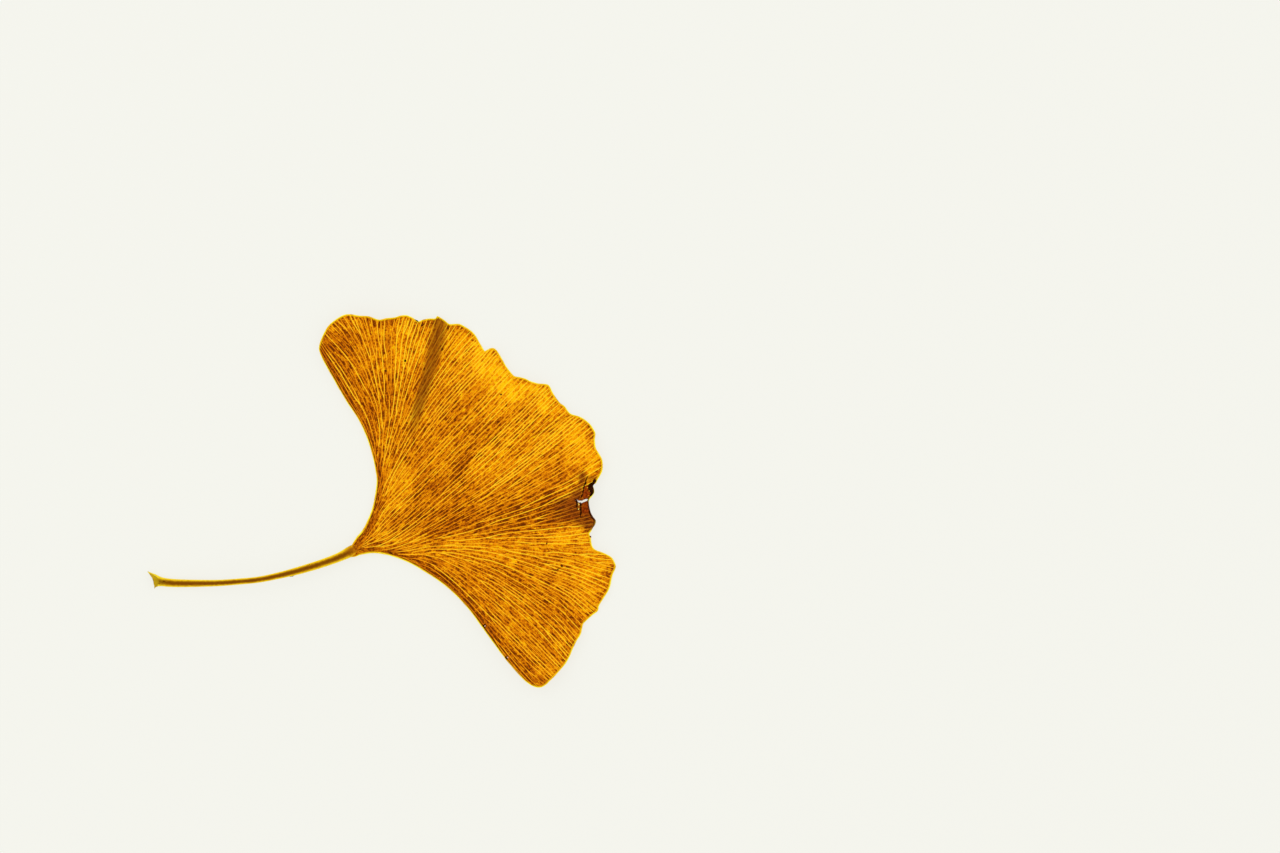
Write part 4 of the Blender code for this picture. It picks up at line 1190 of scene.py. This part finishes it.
def markMaterial():
    # dark brown grain, hardly shiny
    w = newMaterial("darkSpecks")
    grain = w.noise(w.place(), 3000.0, 2.0, 0.6)
    return w.finish(w.principled(w.ramp(grain, markShape["grain"]), 0.7 + (grain - 0.5) * 0.3,
                                 w.bump(0.4, 0.0001, grain), 0.02, crustSheen))


def makeMarks():
    # the specks of the blade and of the stalk as one piece
    blade, stalk = markShape["seeds"][:2]
    shapes = [domePoints(*mark, blade + i) for i, mark in enumerate(markShape["specks"])]
    shapes += [domePoints(x, y, long, short, turn, proud, stalk + i, height)
               for i, (x, y, long, short, turn, height, proud) in enumerate(markShape["stalkSpecks"])]
    return makePiece("specks", *joinShapes(shapes), markMaterial())


crustLook = {
    "ruddy": [(0.35, colour(84, 24, 2)), (0.65, colour(156, 64, 8))],
    "char": [(0.35, colour(16, 5, 1)), (0.75, colour(66, 24, 2))],
    "brown": [(0.3, colour(110, 52, 4)), (0.7, colour(170, 92, 8))],
    "bit": [(0.3, colour(240, 190, 40)), (0.7, colour(255, 226, 110))],
    "pale": [(0.3, colour(214, 150, 116)), (0.7, colour(240, 190, 160))],
    "gold": [(0.3, colour(240, 168, 8)), (0.7, colour(255, 206, 16))],
}


def crustMaterial(tint):
    # a coarse grain of that tint, rough and bumpy
    w = newMaterial(tint + "Crust")
    grain = w.noise(w.place(), 2200.0, 3.0, 0.6)
    return w.finish(w.principled(w.ramp(grain, crustLook[tint]), 0.45 + (grain - 0.5) * 0.4,
                                 w.bump(0.6, 0.0002, grain), 0.01, crustSheen))


crustShape = {
    # rings of a flake: share of its outline's size and height, 1 on top of the blade, -1 under it
    "rings": ((0.06, -1), (0.6, -1), (0.93, -1), (1.0, 0), (0.97, 0.6), (0.88, 0.9), (0.6, 1), (0.3, 1),
              (0.06, 1)),
    "sides": 60,
    "under": 0.02,                   # how far a flake reaches beyond the blade's other face
    "roughSize": 0.25,
    "roughSeed": 71,
    "crackStep": 0.12,
    "crackSides": 8,
    "crackSunk": 0.03,               # a crack's ridge has its middle this far below the upper face
    "crackHeight": 0.07,
    "crackSize": 0.35,               # size and seed of the cloud that varies its width
    "crackSeed": 81,
}


def crustPoints(outline, proud):
    # a closed flake over that outline: rings shrink to its middle, the upper ones doming over the
    # blade, the lower ones just under its other face
    c = crustShape
    ring = evenly(smoothLine(outline + outline[:1], 8), c["sides"] + 1)[:-1]
    middle = ring.mean(0)
    rings = []
    for size, lift in c["rings"]:
        flat = middle + (ring - middle) * size
        low, high = surfaces(*flat.T)
        rough = 0.5 + cloud(*flat.T, c["roughSize"], c["roughSeed"])
        z = high + proud * lift * rough if lift > 0 else (low - c["under"] if lift < 0 else (low + high) / 2)
        rings.append(np.column_stack([flat, np.maximum(z, 0)]))
    return np.vstack(rings), tubeFaces(len(rings), c["sides"])


def crackPoints(line, half):
    # a low ridge along the line, widest in its middle, reaching from the upper face into the blade
    c = crustShape
    path = evenly(smoothLine(line, 10), max(8, int(lengthAlong(np.array(line))[-1] / c["crackStep"])))
    turn = turns(c["crackSides"])
    swell = 0.25 + 0.75 * np.sin(math.pi * np.linspace(0, 1, len(path))) ** 0.6
    wide = half * swell * (0.6 + 0.8 * cloud(*path.T, c["crackSize"], c["crackSeed"]))
    px, py = sideways(*path.T, wide, np.cos(turn))
    high = surfaces(px, py)[1]
    pz = np.maximum(high - c["crackSunk"] + c["crackHeight"] * np.sin(turn), 0)
    return asPoints(px, py, pz), tubeFaces(len(path), c["crackSides"])


def makeCrusts():
    # flakes, cracks, bits and ringed marks, one piece for each tint
    bit, ringed = markShape["seeds"][2:]
    shapes = [(tint, crustPoints(outline, proud)) for outline, proud, tint in scorch["crusts"]]
    shapes += [(tint, crackPoints(line, half)) for line, half, tint in scorch["cracks"]]
    shapes += [(tint, domePoints(x, y, r, r * 0.8, 40, 0.09, bit)) for x, y, r, tint in scorch["bits"]]
    shapes += [(tint, domePoints(x, y, r, r, 0, proud, ringed))
               for x, y, r, proud, tint in markShape["ringed"]]
    return [makePiece(name + "Crust", *joinShapes([shape for tint, shape in shapes if tint == name]),
                      crustMaterial(name), tidy=True) for name in crustLook]


floorLook = {
    "radius": 1.6,                   # metres
    "drop": 0.00005,                 # it lies this far under the leaf
    "sides": 96,
    "tint": colour(98, 98, 96),
    "glow": (1.0, 1.0, 0.93, 1.0),
    "glowStrength": 0.77,
}


def makeFloor():
    # a wide flat disc, lit evenly enough that the leaf's shadow stays faint
    look = floorLook
    w = newMaterial("paleSurface")
    surface = w.node("ShaderNodeBsdfDiffuse", {}, {"Color": look["tint"]})
    glow = w.node("ShaderNodeEmission", {}, {"Color": look["glow"], "Strength": look["glowStrength"]})
    material = w.finish(w.node("ShaderNodeAddShader", {}, {0: surface, 1: glow}))
    turn = turns(look["sides"])
    ring = [look["radius"] * np.cos(turn), look["radius"] * np.sin(turn), np.full(len(turn), -look["drop"])]
    mesh = bpy.data.meshes.new("surface")
    mesh.from_pydata(np.stack(ring, 1).tolist(), [], [list(range(len(turn)))])
    mesh.materials.append(material)
    floor = addObject("surface", mesh)


lightSetup = {
    "skyTint": (1.0, 1.0, 0.985, 1.0),
    "sky": 1.05,
    "key": 1.7,                      # watts of a soft square lamp, its width, place and turn in degrees
    "keySize": 0.7,
    "keyPlace": (-0.35, 0.45, 0.9),
    "keyTurn": (-26, -21, 0),
}


def makeLight():
    # an even pale sky and one large soft lamp
    world = bpy.data.worlds.new("softSky")
    bpy.context.scene.world = world
    world.use_nodes = True
    sky = world.node_tree.nodes["Background"]
    sky.inputs["Color"].default_value = lightSetup["skyTint"]
    sky.inputs["Strength"].default_value = lightSetup["sky"]
    key = bpy.data.lights.new("key", "AREA")
    key.energy = lightSetup["key"]
    key.size = lightSetup["keySize"]
    lamp = addObject("key", key)
    lamp.location = lightSetup["keyPlace"]
    lamp.rotation_euler = [math.radians(turn) for turn in lightSetup["keyTurn"]]


cameraSetup = {
    "lens": 100,
    "sensor": 36,
    "over": (58, 25),                # millimetres from the base point
    "frameWidth": 0.256,             # metres of the surface that the picture is wide
    "farthest": 20,
}


def makeCamera():
    # straight down, placed so that the leaf falls where the photograph has it
    c = cameraSetup
    data = bpy.data.cameras.new("camera")
    data.lens, data.sensor_width, data.clip_end = c["lens"], c["sensor"], c["farthest"]
    camera = addObject("camera", data)
    x, y = (np.array(bladeShape["basePoint"]) + c["over"]) * mm
    camera.location = (x, y, c["frameWidth"] * c["lens"] / c["sensor"])
    bpy.context.scene.camera = camera


makeFloor()
makeLight()
makeCamera()
print("floor, light and camera ready")
pieces = [makeBlade(), makeVeins(), makeRim(), makeStalk(), makeMarks(), *makeCrusts()]
for piece in pieces:
    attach(piece, "root")
    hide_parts("ginkgo_leaf")
    print(piece.name, len(piece.data.vertices), "points")
bpy.context.scene.view_settings.view_transform = "Standard"
